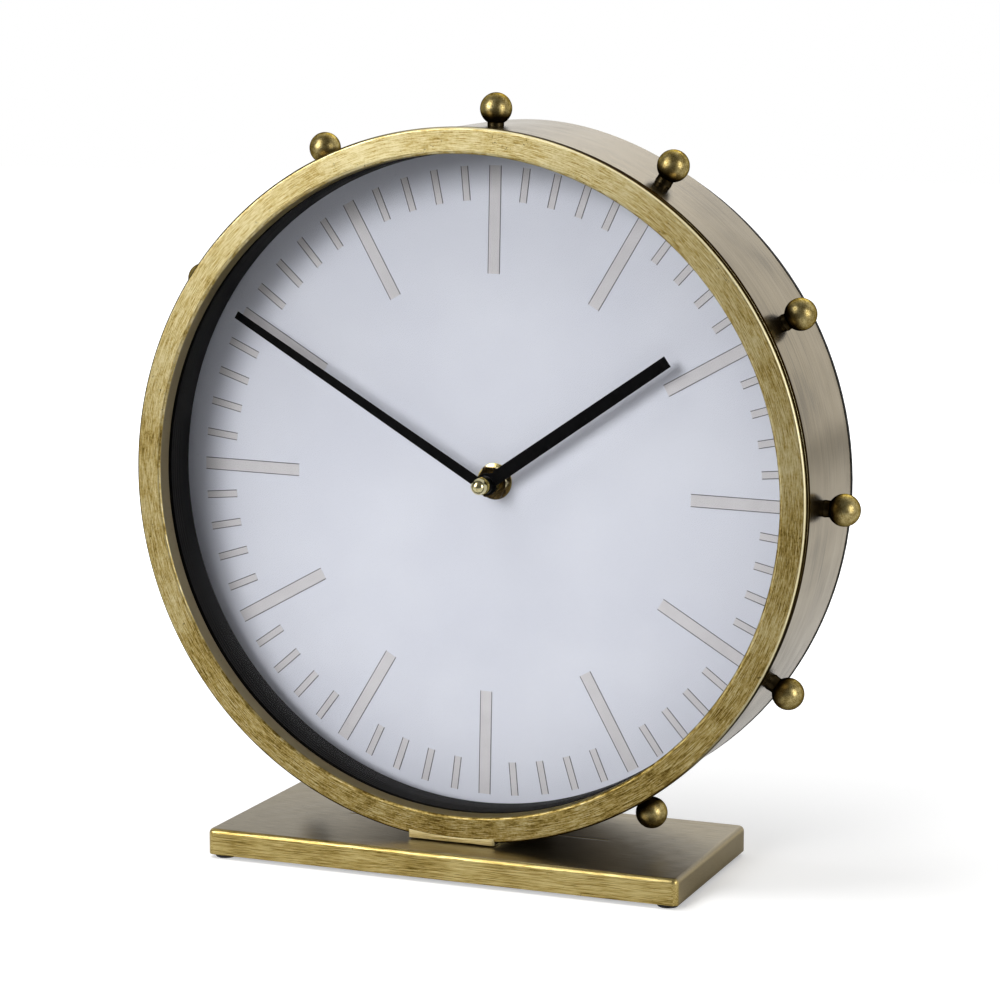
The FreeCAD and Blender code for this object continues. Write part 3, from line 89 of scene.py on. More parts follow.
def linear(colour: str) -> tuple[float, ...]:
    """Turns an sRGB hex colour into linear light.

    Args:
        colour: six hex digits after a hash.

    Returns:
        Red, green, blue and an alpha of one.
    """
    parts = np.array([int(colour[i:i + 2], 16) for i in (1, 3, 5)]) / 255.0
    light = np.where(parts <= 0.04045, parts / 12.92, ((parts + 0.055) / 1.055) ** 2.4)
    return (*light.tolist(), 1.0)


def add(
    tree: bpy.types.NodeTree,
    kind: str,
    inputs: Inputs = (),
    operation: str = "",
    out: str | int = 0,
    stops: tuple[tuple[float, float | str], ...] = (),
    **settings: object,
) -> Socket | None:
    """Adds one node with its settings and what feeds it.

    Args:
        tree: the node tree that gets the node.
        kind: the node's Blender type name after "ShaderNode".
        inputs: what the inputs get, in their order or by name or number: a socket is linked, and a
            number, a tuple or a hex colour is set on the input itself.
        operation: what a maths node does.
        out: the output that is wanted, by name or number.
        stops: a colour ramp's places in rising order, each with a hex colour or a plain number.
        settings: the node's other properties by name.

    Returns:
        The output socket, or None for a node without any.
    """
    node = tree.nodes.new("ShaderNode" + kind)
    if operation:
        node.operation = operation
    for key, value in settings.items():
        setattr(node, key, value)
    for place, _ in stops[2:]:
        node.color_ramp.elements.new(place)
    for index, (place, colour) in enumerate(stops):
        element = node.color_ramp.elements[index]
        element.position = place
        element.color = linear(colour) if isinstance(colour, str) else (colour, colour, colour, 1.0)
    for key, value in inputs.items() if isinstance(inputs, dict) else enumerate(inputs):
        if isinstance(value, Socket):
            tree.links.new(value, node.inputs[key])
        else:
            node.inputs[key].default_value = linear(value) if isinstance(value, str) else value
    return node.outputs[out] if node.outputs else None


def blobs(where: Socket, size_mm: float, detail: float = 3.0) -> Inputs:
    """What a noise node gets for blobs of a real size, with this many finer layers on them."""
    return {"Vector": where, "Scale": 1.0 / (size_mm * MM), "Detail": detail, "Roughness": 0.6}


# A Mix node between two colours: share, first and second go to its inputs 0, 6 and 7.
COLOURS = {"data_type": "RGBA", "out": 2}


# --- Finishes ---


class Grain(Enum):
    """Which way the marks of a brush or a roller run on a metal piece."""

    ROUND = "round the drum's axis"
    ALONG_X = "along the foot"
    NONE = "no direction"


@dataclass(frozen=True)
class Finish:
    """What every finish has.

    Args:
        name: a maker's name for the material and how its surface was made.
    """

    name: str

    def material(self) -> bpy.types.Material:
        """Builds the node material.

        Returns:
            A new material with the finish's nodes.
        """
        made = bpy.data.materials.new(self.name)
        made.use_nodes = True
        made.node_tree.nodes.clear()
        node = partial(add, made.node_tree)
        node("OutputMaterial", {"Surface": self.shader(node)})
        return made

    def shader(self, node: AddNode) -> Socket:
        """The shader socket of this finish; each kind of finish has its own."""
        raise NotImplementedError


@dataclass(frozen=True)
class Metal(Finish):
    """Bare, plated or patinated metal with brush marks, clouds, specks and an aged colour off its face.

    Args:
        light, middle, dark: colours of the rubbed face from its streaks' tops to their bottoms.
        aged: colour where the face doesn't look to the front, if the piece was hand-rubbed there only.
        aged_and_shaded_top: the same for faces that look up; it is partly patina and partly painted shade for
            the dark reflection that a top shows.
        inner: colour of a wall that faces the drum's axis.
        roughness: middle roughness.
        grain: which way the brush marks run.
        streak_mm, streak_long_mm: how wide and how long a brush mark is.
        cloud_mm, cloud: size and strength of the cloudy patina.
        speck_mm, speck: size and strength of the dark specks.
        relief_mm: depth of the brush marks.
        centre: the axis that a round grain runs about, X and Z.
        inner_below: distance from the axis below which an upright wall counts as inner.
        painted_light_at_top: painted light and shade: how much lighter a ring is painted toward just before
            12 o'clock, and darker opposite, where the light falls.
        light_from: how strong a streak is at its palest; higher leaves less pale metal.
        root: colour of the painted shade low on a stud, where it meets the band; it fades out over
            root_within, two distances from the axis.
        edge: how much of the metal's reflection is left at a glancing look.
        under: painted shade: colour of the aged faces that look down.
        mottle_mm, mottle: size and strength of small patches in the patina.
        rim: colour of a painted highlight on the outer front edge round 2 o'clock; the rest of that edge gets
            the aged colour as painted shade.
        rim_from: distance from the axis beyond which the edge counts as the outer one.
    """

    light: str = "#D8C88C"
    middle: str = "#BFA969"
    dark: str = "#7C6A38"
    aged: str = ""
    aged_and_shaded_top: str = ""
    inner: str = ""
    roughness: float = 0.4
    grain: Grain = Grain.NONE
    streak_mm: float = 0.5
    streak_long_mm: float = 14.0
    cloud_mm: float = 28.0
    cloud: float = 0.5
    speck_mm: float = 1.1
    speck: float = 0.6
    relief_mm: float = 0.03
    centre: tuple[float, float] = (0.0, 0.1452)
    inner_below: float = 0.0
    painted_light_at_top: float = 0.0
    light_from: float = 0.60
    root: str = ""
    root_within: tuple[float, float] = (0.0, 0.0)
    edge: str = "#FFFFFF"
    under: str = ""
    mottle_mm: float = 0.9
    mottle: float = 0.0
    rim: str = ""
    rim_from: float = 0.1315

    def from_axis(self, node: AddNode) -> Socket:
        """The vector from the piece's axis to the point, square to the axis."""
        moved = {"Location": (-self.centre[0], 0.0, -self.centre[1]), "Scale": (1.0, 0.0, 1.0)}
        return node("Mapping", {"Vector": node("TexCoord", out="Object"), **moved})

    def away(self, node: AddNode) -> Socket:
        """The distance from the axis."""
        return node("VectorMath", (self.from_axis(node),), "LENGTH", "Value")

    def way(self, node: AddNode) -> Socket:
        """The direction from the axis."""
        return node("VectorMath", (self.from_axis(node),), "NORMALIZE")

    def toward(self, node: AddNode, hour: float) -> Socket:
        """How much the point lies toward an hour: one at that hour, minus one opposite."""
        lean = TURN * hour / 12
        return node("VectorMath", (self.way(node), (math.sin(lean), 0.0, math.cos(lean))), "DOT_PRODUCT",
                    "Value")

    def brush_place(self, node: AddNode) -> Socket:
        """Stretches space so that noise of size one becomes brush marks.

        Round the axis the marks follow the direction from it, so there is no seam; across them the
        distance from the axis and the depth are added, which is steady over an edge.

        Args:
            node: adds a node.

        Returns:
            The stretched point.
        """
        here = node("TexCoord", out="Object")
        fine, long = 1.0 / (self.streak_mm * MM), 1.0 / (self.streak_long_mm * MM)
        if self.grain is not Grain.ROUND:
            along = long if self.grain is Grain.ALONG_X else fine
            return node("Mapping", {"Vector": here, "Scale": (along, fine, fine)})
        reach = math.hypot(*self.centre) * long
        around = node("VectorMath", {0: self.way(node), "Scale": reach}, "SCALE")
        both = node("Math", (self.away(node), node("SeparateXYZ", (here,), out="Y")), "ADD")
        across = node("CombineXYZ", {"Y": node("Math", (both, fine), "MULTIPLY")})
        return node("VectorMath", (around, across), "ADD")

    def shader(self, node: AddNode) -> Socket:
        """Metal shader: streaks pick the colour, clouds and specks darken it, and both roughen it.

        The painted highlight on the outer edge is half as metallic as the rest, so that it stays pale at any
        slant.

        Args:
            node: adds a node.

        Returns:
            The shader socket.
        """
        here = node("TexCoord", out="Object")
        brush = {"Vector": self.brush_place(node), "Scale": 1.0, "Detail": 4.0, "Roughness": 0.7}
        streaks = node("TexNoise", brush)
        clouds = node("Math", (node("TexNoise", blobs(here, self.cloud_mm)), self.cloud / 2), "MULTIPLY")
        both = node("Math", (streaks, 1.0 - self.cloud / 2, clouds), "MULTIPLY_ADD")
        # Painted light and shade: the ring is made lighter toward just before 12 o'clock and darker opposite.
        if self.painted_light_at_top:
            both = node("Math", (self.toward(node, 11.8), self.painted_light_at_top, both), "MULTIPLY_ADD")
        if self.mottle:
            patches = node("Math", (node("TexNoise", blobs(here, self.mottle_mm)), 0.5), "SUBTRACT")
            both = node("Math", (patches, self.mottle, both), "MULTIPLY_ADD")
        tones = ((0.38, self.dark), (0.48, self.middle), (self.light_from, self.light))
        colour = self.weathered(node, node("ValToRGB", (both,), stops=tones), streaks)
        # Painted shade low on a stud, where it meets the band.
        if self.root:
            root_shade = node("MapRange", (self.away(node), *self.root_within, 1.0, 0.0))
            colour = node("Mix", {0: root_shade, 6: colour, 7: self.root}, **COLOURS)
        dots = node("TexNoise", blobs(here, self.speck_mm, 2.0))
        dots = node("ValToRGB", (dots,), stops=((0.66, 0.0), (0.72, 1.0)))
        fields = node("TexNoise", blobs(here, self.speck_mm * 9.0, 1.0))
        fields = node("ValToRGB", (fields,), stops=((0.50, 0.0), (0.62, 1.0)))
        specks = node("Math", (node("Math", (dots, fields), "MULTIPLY"), self.speck), "MULTIPLY")
        colour = node("Mix", {0: specks, 6: colour, 7: "#2B2210"}, **COLOURS)
        metallic = 1.0
        # Painted highlight: the outer front edge toward 2 o'clock is painted pale, and the rest of it gets
        # the aged colour as painted shade.
        if self.rim:
            edge = self.outer_edge(node)
            rubbed = node("ValToRGB", (self.toward(node, 2.0),), stops=((0.2, 0.0), (0.7, 1.0)))
            rim = node("Mix", {0: rubbed, 6: self.aged, 7: self.rim}, **COLOURS)
            colour = node("Mix", {0: edge, 6: colour, 7: rim}, **COLOURS)
            metallic = node("Math", (node("Math", (edge, rubbed), "MULTIPLY"), -0.55, 1.0), "MULTIPLY_ADD")
        return node("BsdfPrincipled", {
            "Base Color": colour,
            "Metallic": metallic,
            "Roughness": node("MapRange", (both, 0.3, 0.7, self.roughness + 0.07, self.roughness - 0.07)),
            "Normal": node("Bump", {"Strength": 0.35, "Distance": self.relief_mm * MM, "Height": streaks}),
            "Specular Tint": self.edge,
        })

    def outer_edge(self, node: AddNode) -> Socket:
        """Where a ring's outer front edge is: far out, and turned half away from the front.

        Args:
            node: adds a node.

        Returns:
            One on the edge and nought off it.
        """
        facing = node("SeparateXYZ", (node("TexCoord", out="Normal"),), out="Y")
        front = node("Math", (facing, -1.0), "MULTIPLY")
        turned = node("ValToRGB", (front,), stops=((0.40, 0.0), (0.55, 1.0), (0.86, 1.0), (0.97, 0.0)))
        outer = node("Math", (self.away(node), self.rim_from), "GREATER_THAN")
        return node("Math", (outer, turned), "MULTIPLY")

    def weathered(self, node: AddNode, colour: Socket, streaks: Socket) -> Socket:
        """Keeps the rubbed colour on the front and gives other faces the aged ones; faces that look down get
        painted shade, and faces that look up a colour that is partly painted shade.

        Args:
            node: adds a node.
            colour: the rubbed colour.
            streaks: the brush marks, which break up the border.

        Returns:
            The colour of the whole piece.
        """
        if not self.aged:
            return colour
        facing = node("TexCoord", out="Normal")
        ahead, up = (node("SeparateXYZ", (facing,), out=axis) for axis in "YZ")
        broken = node("Math", (streaks, -0.35, 0.175), "MULTIPLY_ADD")
        front = node("Math", (ahead, -1.0, broken), "MULTIPLY_ADD")
        off = node("ValToRGB", (front,), stops=((0.18, 1.0), (0.50, 0.0)))
        shade = node("ValToRGB", (streaks,), stops=((0.38, 0.72), (0.62, 1.12)))
        aged = node("Mix", {0: 1.0, 6: self.aged, 7: shade}, blend_type="MULTIPLY", **COLOURS)
        # Faces that look up: partly patina, partly painted shade for the dark reflection on a top.
        if self.aged_and_shaded_top:
            on_top = node("ValToRGB", (up,), stops=((0.45, 0.0), (0.85, 1.0)))
            top = node("Mix", {0: 1.0, 6: self.aged_and_shaded_top, 7: shade}, blend_type="MULTIPLY", **COLOURS)
            aged = node("Mix", {0: on_top, 6: aged, 7: top}, **COLOURS)
        # Painted shade: aged faces that look down are made darker.
        if self.under:
            down = node("Math", (up, -1.0), "MULTIPLY")
            down = node("ValToRGB", (down,), stops=((0.15, 0.0), (0.50, 1.0)))
            aged = node("Mix", {0: down, 6: aged, 7: self.under}, **COLOURS)
        if self.inner:
            inside = node("Math", (self.away(node), self.inner_below), "LESS_THAN")
            aged = node("Mix", {0: inside, 6: aged, 7: self.inner}, **COLOURS)
        return node("Mix", {0: off, 6: colour, 7: aged}, **COLOURS)


@dataclass(frozen=True)
class Coated(Finish):
    """Plastic, rubber, paint, card, lacquer or board: a clouded colour with fine grain and no metal.

    Args:
        colour, shade: the colour and the one that its clouds go to.
        roughness: middle roughness.
        grain_mm: how wide the surface's grain is.
        relief_mm: how deep the grain is.
        cloud_mm: how wide the clouds are.
        specular: gloss level, 0.5 for plain plastic.
        ior: index of refraction.
        speck: strength of tiny dark specks.
        fibre: how much longer than wide the grain is, along X.
    """

    colour: str = "#202020"
    shade: str = "#181818"
    roughness: float = 0.5
    grain_mm: float = 0.3
    relief_mm: float = 0.02
    cloud_mm: float = 12.0
    specular: float = 0.5
    ior: float = 1.46
    speck: float = 0.0
    fibre: float = 1.0

    def shader(self, node: AddNode) -> Socket:
        """Clouds pick the colour, fine grain gives the relief and varies the gloss.

        Args:
            node: adds a node.

        Returns:
            The shader socket.
        """
        here = node("TexCoord", out="Object")
        drawn = node("Mapping", {"Vector": here, "Scale": (1.0 / self.fibre, 1.0, 1.0)})
        clouds = node("TexNoise", blobs(here, self.cloud_mm))
        grain = node("TexNoise", blobs(drawn, self.grain_mm, 2.0))
        colour = node("ValToRGB", (clouds,), stops=((0.35, self.shade), (0.65, self.colour)))
        if self.speck:
            dots = node("TexNoise", blobs(here, 0.9, 1.0))
            dots = node("ValToRGB", (dots,), stops=((0.79, 0.0), (0.82, self.speck)))
            colour = node("Mix", {0: dots, 6: colour, 7: "#6E675F"}, **COLOURS)
        return node("BsdfPrincipled", {
            "Base Color": colour,
            "Roughness": node("MapRange", (grain, 0.3, 0.7, self.roughness - 0.06, self.roughness + 0.06)),
            "Normal": node("Bump", {"Strength": 0.4, "Distance": self.relief_mm * MM, "Height": grain}),
            "IOR": self.ior,
            "Specular IOR Level": self.specular,
        })


@dataclass(frozen=True)
class Pane(Finish):
    """Coated float glass: clear, with a thin reflection that grows at a slant.

    Args:
        coating: share of bare glass's reflection that the coating leaves.
        tint: colour of what passes through.
    """

    coating: float = 0.15
    tint: str = "#FDFDFD"

    def shader(self, node: AddNode) -> Socket:
        """Transparent and glossy, mixed by Fresnel for an IOR of 1.5; faint wipe marks vary the gloss.

        Args:
            node: adds a node.

        Returns:
            The shader socket.
        """
        slant = node("Math", (node("Fresnel", {"IOR": 1.5}), self.coating), "MULTIPLY")
        wipes = node("TexNoise", blobs(node("TexCoord", out="Object"), 18.0))
        wipes = node("ValToRGB", (wipes,), stops=((0.4, 0.03), (0.7, 0.07)))
        clear = node("BsdfTransparent", {"Color": self.tint})
        return node("MixShader", (slant, clear, node("BsdfGlossy", {"Roughness": wipes})))


@dataclass(frozen=True)
class Banded(Finish):
    """Stripes along X: the turns of a wire winding, or the sleeve of a cell.

    Args:
        first, second: colours of the two kinds of stripe.
        edge: the stripes' pitch, or the X at which the first colour gives way to the second, in metres.
        repeated: whether the edge is a pitch that goes on.
        metallic: how metallic the stripes are.
        roughness: middle roughness.
    """

    first: str = "#B5713A"
    second: str = "#5E3012"
    edge: float = 0.0002
    repeated: bool = True
    metallic: float = 1.0
    roughness: float = 0.35

    def shader(self, node: AddNode) -> Socket:
        """X picks the stripe, and a fine noise breaks the gloss.

        Args:
            node: adds a node.

        Returns:
            The shader socket.
        """
        here = node("TexCoord", out="Object")
        along = node("SeparateXYZ", (here,), out="X")
        if self.repeated:
            turn = node("Math", (node("Math", (along, self.edge), "DIVIDE"),), "FRACT")
            share = node("Math", (turn, 0.5), "PINGPONG")
            colour = node("ValToRGB", (share,), stops=((0.05, self.second), (0.35, self.first)))
        else:
            share = node("Math", (along, self.edge), "GREATER_THAN")
            colour = node("Mix", {0: share, 6: self.first, 7: self.second}, **COLOURS)
        fine = node("TexNoise", blobs(here, 0.4, 2.0))
        return node("BsdfPrincipled", {
            "Base Color": colour,
            "Metallic": self.metallic,
            "Roughness": node("MapRange", (fine, 0.3, 0.7, self.roughness - 0.05, self.roughness + 0.05)),
            "Normal": node("Bump", {"Strength": 0.3, "Distance": 0.05 * MM, "Height": share}),
        })


# The finish of each of the record's material slots. The colours come first, from light to dark.
FINISHES: dict[str, Finish] = {
    # Brass strip, antiqued dark and hand-rubbed on its front: pale gold streaks over olive patina.
    # Painted light on it: lighter toward the top and darker toward the bottom, a painted highlight on its
    # outer edge round 2 o'clock, and painted shade on faces that look down.
    "bezel_brass": Metal(
        "antique_brass_hand_rubbed_ring", "#D6CA9C", "#AE9756", "#5E4B1E",
        aged="#42340F", under="#241B0A", inner="#8B8067", inner_below=0.1256, grain=Grain.ROUND,
        roughness=0.44, streak_mm=0.3, streak_long_mm=6.0, painted_light_at_top=0.05, edge="#8A8574",
        light_from=0.61, speck=0.8, mottle=0.16, rim="#F6ECC0"),
    # The same strip soldered below the ring, rubbed along, streaks level; its paler colour is partly rubbing
    # and partly a painted highlight.
    "saddle_brass": Metal(
        "antique_brass_hand_rubbed_block", "#F6ECC2", "#E6D69E", "#A8935A",
        aged="#4A3E24", grain=Grain.ALONG_X, roughness=0.46, streak_mm=0.3),
    # Folded brass-plated sheet: rubbed gold on the front edge; the dull bronze on the top is partly patina
    # and partly painted shade for the dark reflection there.
    "base_brass": Metal(
        "antique_brass_folded_tray", "#DAC98C", "#B69E5B", "#695624",
        aged="#988860", aged_and_shaded_top="#857A61", grain=Grain.ALONG_X, roughness=0.36, streak_mm=0.26,
        streak_long_mm=10.0, cloud_mm=30.0),
    # Rolled sheet with a pewter-brown wash: satin, faint marks round the drum.
    "band_brass": Metal(
        "pewter_washed_rolled_sheet", "#90805E", "#81714E", "#615332",
        grain=Grain.ROUND, roughness=0.22, streak_mm=0.7, streak_long_mm=50.0, cloud_mm=40.0,
        cloud=0.9, speck=0.35, speck_mm=0.8, relief_mm=0.006),
    # Turned balls, antiqued and tumbled: satin gold with olive clouds, with painted shade low down where they
    # meet the band.
    "stud_brass": Metal(
        "antique_brass_tumbled_ball", "#C6B680", "#9E8B56", "#6E5F36",
        roughness=0.37, streak_mm=0.4, cloud_mm=6.0, cloud=0.7, speck=0.5, speck_mm=0.6,
        relief_mm=0.006, root="#352D1D", root_within=(0.1360, 0.1385), edge="#1A1812", mottle=0.3,
        mottle_mm=1.4),
    # Polished and lacquered brass: clean yellow mirror with hairlines.
    "bright_brass": Metal(
        "polished_brass_lacquered", "#F0E6B0", "#DACB8C", "#A8965A",
        roughness=0.12, streak_mm=0.3, cloud=0.2, speck=0.1, relief_mm=0.004),
    # Steel sheet with a dull black-brown bake: even and half matt.
    "base_plate": Coated("baked_enamel_steel_sheet", "#2C2823", "#24201C", roughness=0.5),
    # Black rubbers: dull and slightly dusty, the cut ones duller than the moulded one.
    "foot_rubber": Coated(
        "moulded_black_rubber", "#1B1A1A", "#121111", roughness=0.75, ior=1.52),
    "gasket_rubber": Coated(
        "cut_rubber_gasket", "#161616", "#0F0F0F", roughness=0.8, ior=1.52),
    "washer_rubber": Coated(
        "cut_rubber_washer", "#1A1A1A", "#121212", roughness=0.8, ior=1.52),
    # Zinc plate: cool, bluish grey and softly bright.
    "steel": Metal(
        "zinc_plated_steel", "#C9CCCE", "#B2B5B7", "#8F9294", roughness=0.3,
        streak_mm=0.4, speck=0.1, cloud_mm=6.0),
    # Turned tool steel: clean, with fine turning marks.
    "arbor_steel": Metal(
        "turned_bright_steel", "#D0D2D4", "#B9BCBE", "#96999B", roughness=0.22,
        streak_mm=0.3, speck=0.0, cloud_mm=5.0),
    # Nickel on spring steel: a warmer, shinier grey.
    "contact_steel": Metal(
        "nickelled_spring_steel", "#D3D0C8", "#BFBBB2", "#9C988F", roughness=0.25,
        streak_mm=0.4, speck=0.05, cloud_mm=8.0),
    # Bare soft iron: mid grey and dull.
    "stator_iron": Metal(
        "stamped_soft_iron", "#A6A6A8", "#8F8F92", "#747478", roughness=0.42,
        streak_mm=0.5, speck=0.1, cloud_mm=6.0),
    # Sintered magnet: dark grey with a dry, speckled skin.
    "rotor_magnet": Metal(
        "sintered_magnet", "#6E6E72", "#5B5B5F", "#47474B", roughness=0.5,
        streak_mm=0.4, speck=0.2, cloud_mm=3.0),
    # Float glass, coated: all but unseen from the front.
    "window_glass": Pane("coated_float_glass"),
    # Black paper-like paint inside the window: swallows nearly all light.
    "spacer_black": Coated(
        "matt_black_painted_ring", "#0C0A08", "#070605", roughness=0.6, specular=0.12,
        grain_mm=0.5, relief_mm=0.003),
    # Coated card: cool white, hardly any texture, a few specks.
    "dial_card": Coated(
        "coated_white_card", "#DCDFE9", "#D5D8E3", roughness=0.62, grain_mm=0.35,
        relief_mm=0.006, cloud_mm=60.0, specular=0.2, speck=0.5),
    # Printing ink: a thin, warm grey film as dull as the card.
    "mark_ink": Coated(
        "warm_grey_printing_ink", "#D3D1D4", "#CDCBCE", roughness=0.6, grain_mm=0.3,
        relief_mm=0.004, cloud_mm=10.0, specular=0.2),
    # Fibreboard: brown, with pressed fibres.
    "board_fibre": Coated(
        "pressed_fibreboard", "#8A6A48", "#74573A", roughness=0.85, grain_mm=0.6,
        relief_mm=0.08, cloud_mm=5.0, fibre=4.0),
    # The same board under thin black paint: the fibres still show.
    "back_black": Coated(
        "black_painted_fibreboard", "#191817", "#131211", roughness=0.68, grain_mm=0.9,
        relief_mm=0.06, cloud_mm=14.0, specular=0.35, fibre=3.0),
    # Lacquered aluminium hands: deep matt black with no grain to see.
    "hand_black": Coated(
        "matt_black_lacquered_aluminium", "#060607", "#040405", roughness=0.55,
        specular=0.06, grain_mm=0.3, relief_mm=0.004),
    # Moulded ABS: near-black with a spark-eroded grain.
    "case_plastic": Coated(
        "moulded_abs_case", "#1F1F21", "#1A1A1C", roughness=0.48, grain_mm=0.45,
        relief_mm=0.03, cloud_mm=20.0, ior=1.54),
    # Natural acetal: waxy off-white, smooth on the wheels and a little duller on the knob.
    "gear_plastic": Coated(
        "moulded_acetal_wheel", "#E6E3DA", "#DAD6CB", roughness=0.38, grain_mm=0.4,
        relief_mm=0.004, cloud_mm=8.0, ior=1.48),
    "knob_plastic": Coated(
        "moulded_acetal_knob", "#D9D6CE", "#CCC9C0", roughness=0.4, grain_mm=0.4,
        relief_mm=0.006, cloud_mm=6.0, ior=1.48),
    # Nylon: yellowish and smooth.
    "bobbin_plastic": Coated(
        "moulded_nylon_bobbin", "#CBB98C", "#BEAB7C", roughness=0.42, grain_mm=0.4,
        relief_mm=0.004, cloud_mm=5.0, ior=1.53),
    # Enamelled copper wire: 0.2 mm turns, glossy, dark between them.
    "coil_copper": Banded("enamelled_copper_winding"),
    # Cell in a plain printed sleeve: black with a copper-coloured end.
    "cell_jacket": Banded(
        "printed_cell_sleeve", first="#1C1D20", second="#B98A4A", edge=0.012, repeated=False,
        metallic=0.6, roughness=0.3),
    # Glass-epoxy board under green solder mask: smooth and glossy.
    "circuit_green": Coated(
        "green_solder_mask", "#1E5A38", "#184C2F", roughness=0.3, grain_mm=0.8,
        relief_mm=0.01, cloud_mm=3.0, ior=1.55),
}


# --- Surfaces ---


@dataclass(frozen=True)
class Round:
    """Place and size of a round CAD node whose axis runs along Y.

    Args:
        axis: X and Z of the axis.
        radius: its outside radius.
        front, back: Y of its ends.
    """

    axis: tuple[float, float]
    radius: float
    front: float
    back: float

    @classmethod
    def of(cls, node: str) -> "Round":
        """Reads a node's place and size from the frame."""
        low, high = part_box(node)
        return cls(((low.x + high.x) / 2, (low.z + high.z) / 2), (high.x - low.x) / 2, low.y, high.y)


def grid_faces(rows: int, columns: int, close_columns: bool) -> np.ndarray:
    """Quads between neighbouring points of a grid whose last row joins its first.

    Args:
        rows: points along the first parameter.
        columns: points along the second parameter.
        close_columns: whether the last column joins the first too.

    Returns:
        Four point numbers for each quad.
    """
    here = np.arange(rows * columns).reshape(rows, columns)
    below = np.roll(here, -1, axis=0)
    quads = np.stack([here, below, np.roll(below, -1, axis=1), np.roll(here, -1, axis=1)], axis=2)
    return (quads if close_columns else quads[:, :-1]).reshape(-1, 4)


def outward(points: Points, faces: np.ndarray) -> np.ndarray:
    """Turns the faces of a closed surface round if they enclose a negative volume.

    The volume is a sixth of the sum over all triangles of the triple product of their corners.

    Args:
        points: the surface's points.
        faces: quads.

    Returns:
        The quads, facing outwards.
    """
    centred = points - points.mean(axis=0)
    a, b, c, d = (centred[faces[:, k]] for k in range(4))
    volume = (a * (np.cross(b, c) + np.cross(c, d))).sum()
    return faces if volume > 0 else faces[:, ::-1]


def new_mesh(name: str, points: Points, faces: np.ndarray, smooth: bool = True) -> bpy.types.Mesh:
    """Puts points and quads into a mesh and closes its poles.

    Args:
        name: the mesh's name.
        points: points, three numbers each.
        faces: four point numbers each.
        smooth: whether faces are shaded as one curved surface.

    Returns:
        The mesh.
    """
    mesh = bpy.data.meshes.new(name)
    mesh.vertices.add(len(points))
    mesh.vertices.foreach_set("co", np.ascontiguousarray(points, np.float32).ravel())
    mesh.loops.add(faces.size)
    mesh.loops.foreach_set("vertex_index", np.ascontiguousarray(faces, np.int32).ravel())
    mesh.polygons.add(len(faces))
    mesh.polygons.foreach_set("loop_start", np.arange(0, faces.size, 4, dtype=np.int32))
    mesh.update(calc_edges=True)
    work = bmesh.new()
    work.from_mesh(mesh)
    bmesh.ops.remove_doubles(work, verts=work.verts, dist=2e-7)
    work.to_mesh(mesh)
    work.free()
    mesh.polygons.foreach_set("use_smooth", np.full(len(mesh.polygons), smooth))
    mesh.update()
    return mesh


def rounded(corners: Points, steps: int, hold: float = 0.1 * MM) -> Points:
    """A closed outline through corners, each replaced by an arc of its own radius.

    At each corner the arc starts and ends at the radius times the tangent of half the turn from the
    corner, and its points follow the circle that touches both sides. A point just outside each end of
    the arc keeps the straight runs flat.

    Args:
        corners: across, depth and radius of each corner, in order.
        steps: points on each arc.
        hold: how far outside the arc the extra points lie.

    Returns:
        Points of the outline, across and depth.
    """
    spots, radius = corners[:, :2], corners[:, 2:]
    into = spots - np.roll(spots, 1, axis=0)
    into /= np.linalg.norm(into, axis=1, keepdims=True)
    out = np.roll(into, -1, axis=0)
    turn = np.arctan2(into[:, 0] * out[:, 1] - into[:, 1] * out[:, 0], (into * out).sum(axis=1))[:, None]
    start = spots - into * radius * np.tan(np.abs(turn) / 2)
    arm = np.sign(turn) * radius * np.stack([into[:, 1], -into[:, 0]], axis=1)
    cos, sin = (f(turn * np.linspace(0, 1, steps))[:, :, None] for f in (np.cos, np.sin))
    square = np.stack([-arm[:, 1], arm[:, 0]], axis=1)
    arcs = (start - arm)[:, None] + arm[:, None] * cos + square[:, None] * sin
    before = arcs[:, :1] - into[:, None] * hold
    after = arcs[:, -1:] + out[:, None] * hold
    return np.concatenate([before, arcs, after], axis=1).reshape(-1, 2)


def refined(outline: Points, spacing: float) -> Points:
    """Adds points on the long runs of a closed outline so that none is longer than the spacing.

    Args:
        outline: the outline's points.
        spacing: the longest step.

    Returns:
        The outline with more points.
    """
    pieces = []
    for start, end in zip(outline, np.roll(outline, -1, axis=0)):
        count = max(1, math.ceil(float(np.linalg.norm(end - start)) / spacing))
        pieces.append(start + (end - start) * np.arange(count)[:, None] / count)
    return np.concatenate(pieces)


def turned(outline: Points, axis: tuple[float, float], front: float, angle: Points) -> Points:
    """Carries an outline round an axis that runs along Y.

    A point at angle a and distance r is at r sin a to the right and r cos a above the axis.

    Args:
        outline: across and depth of each point.
        axis: X and Z of the axis.
        front: Y of depth zero.
        angle: the angles.

    Returns:
        A grid of points, angle by outline point by axis.
    """
    across, depth = outline[None, :, 0], outline[None, :, 1]
    x, z = across * np.sin(angle)[:, None], across * np.cos(angle)[:, None]
    return np.stack([axis[0] + x, np.broadcast_to(front + depth, x.shape), axis[1] + z], axis=2)


def around(steps: int) -> Points:
    """Angles in even steps round a full turn."""
    return np.linspace(0, TURN, steps, endpoint=False)


def apart(angle: Points, place: float) -> Points:
    """How far each angle is from a place on the circle, the short way round."""
    return (angle - place + math.pi) % TURN - math.pi


def waves(angle: Points, across: Points, seed: int, reach: float) -> Points:
    """Slow unevenness of hand work: a sum of eight sine waves with seeded sizes and starts.

    Args:
        angle: angle round the piece.
        across: distance across it.
        seed: picks the waves.
        reach: about the largest height.

    Returns:
        A height for each point.
    """
    draw = np.random.default_rng(seed)
    height = np.zeros(np.broadcast(angle, across).shape)
    for _ in range(8):
        turns, slope = draw.integers(3, 28), draw.uniform(-400, 400)
        height += draw.uniform(0.3, 1.0) * np.sin(turns * angle + slope * across + draw.uniform(0, TURN))
    return height * reach / 4.0


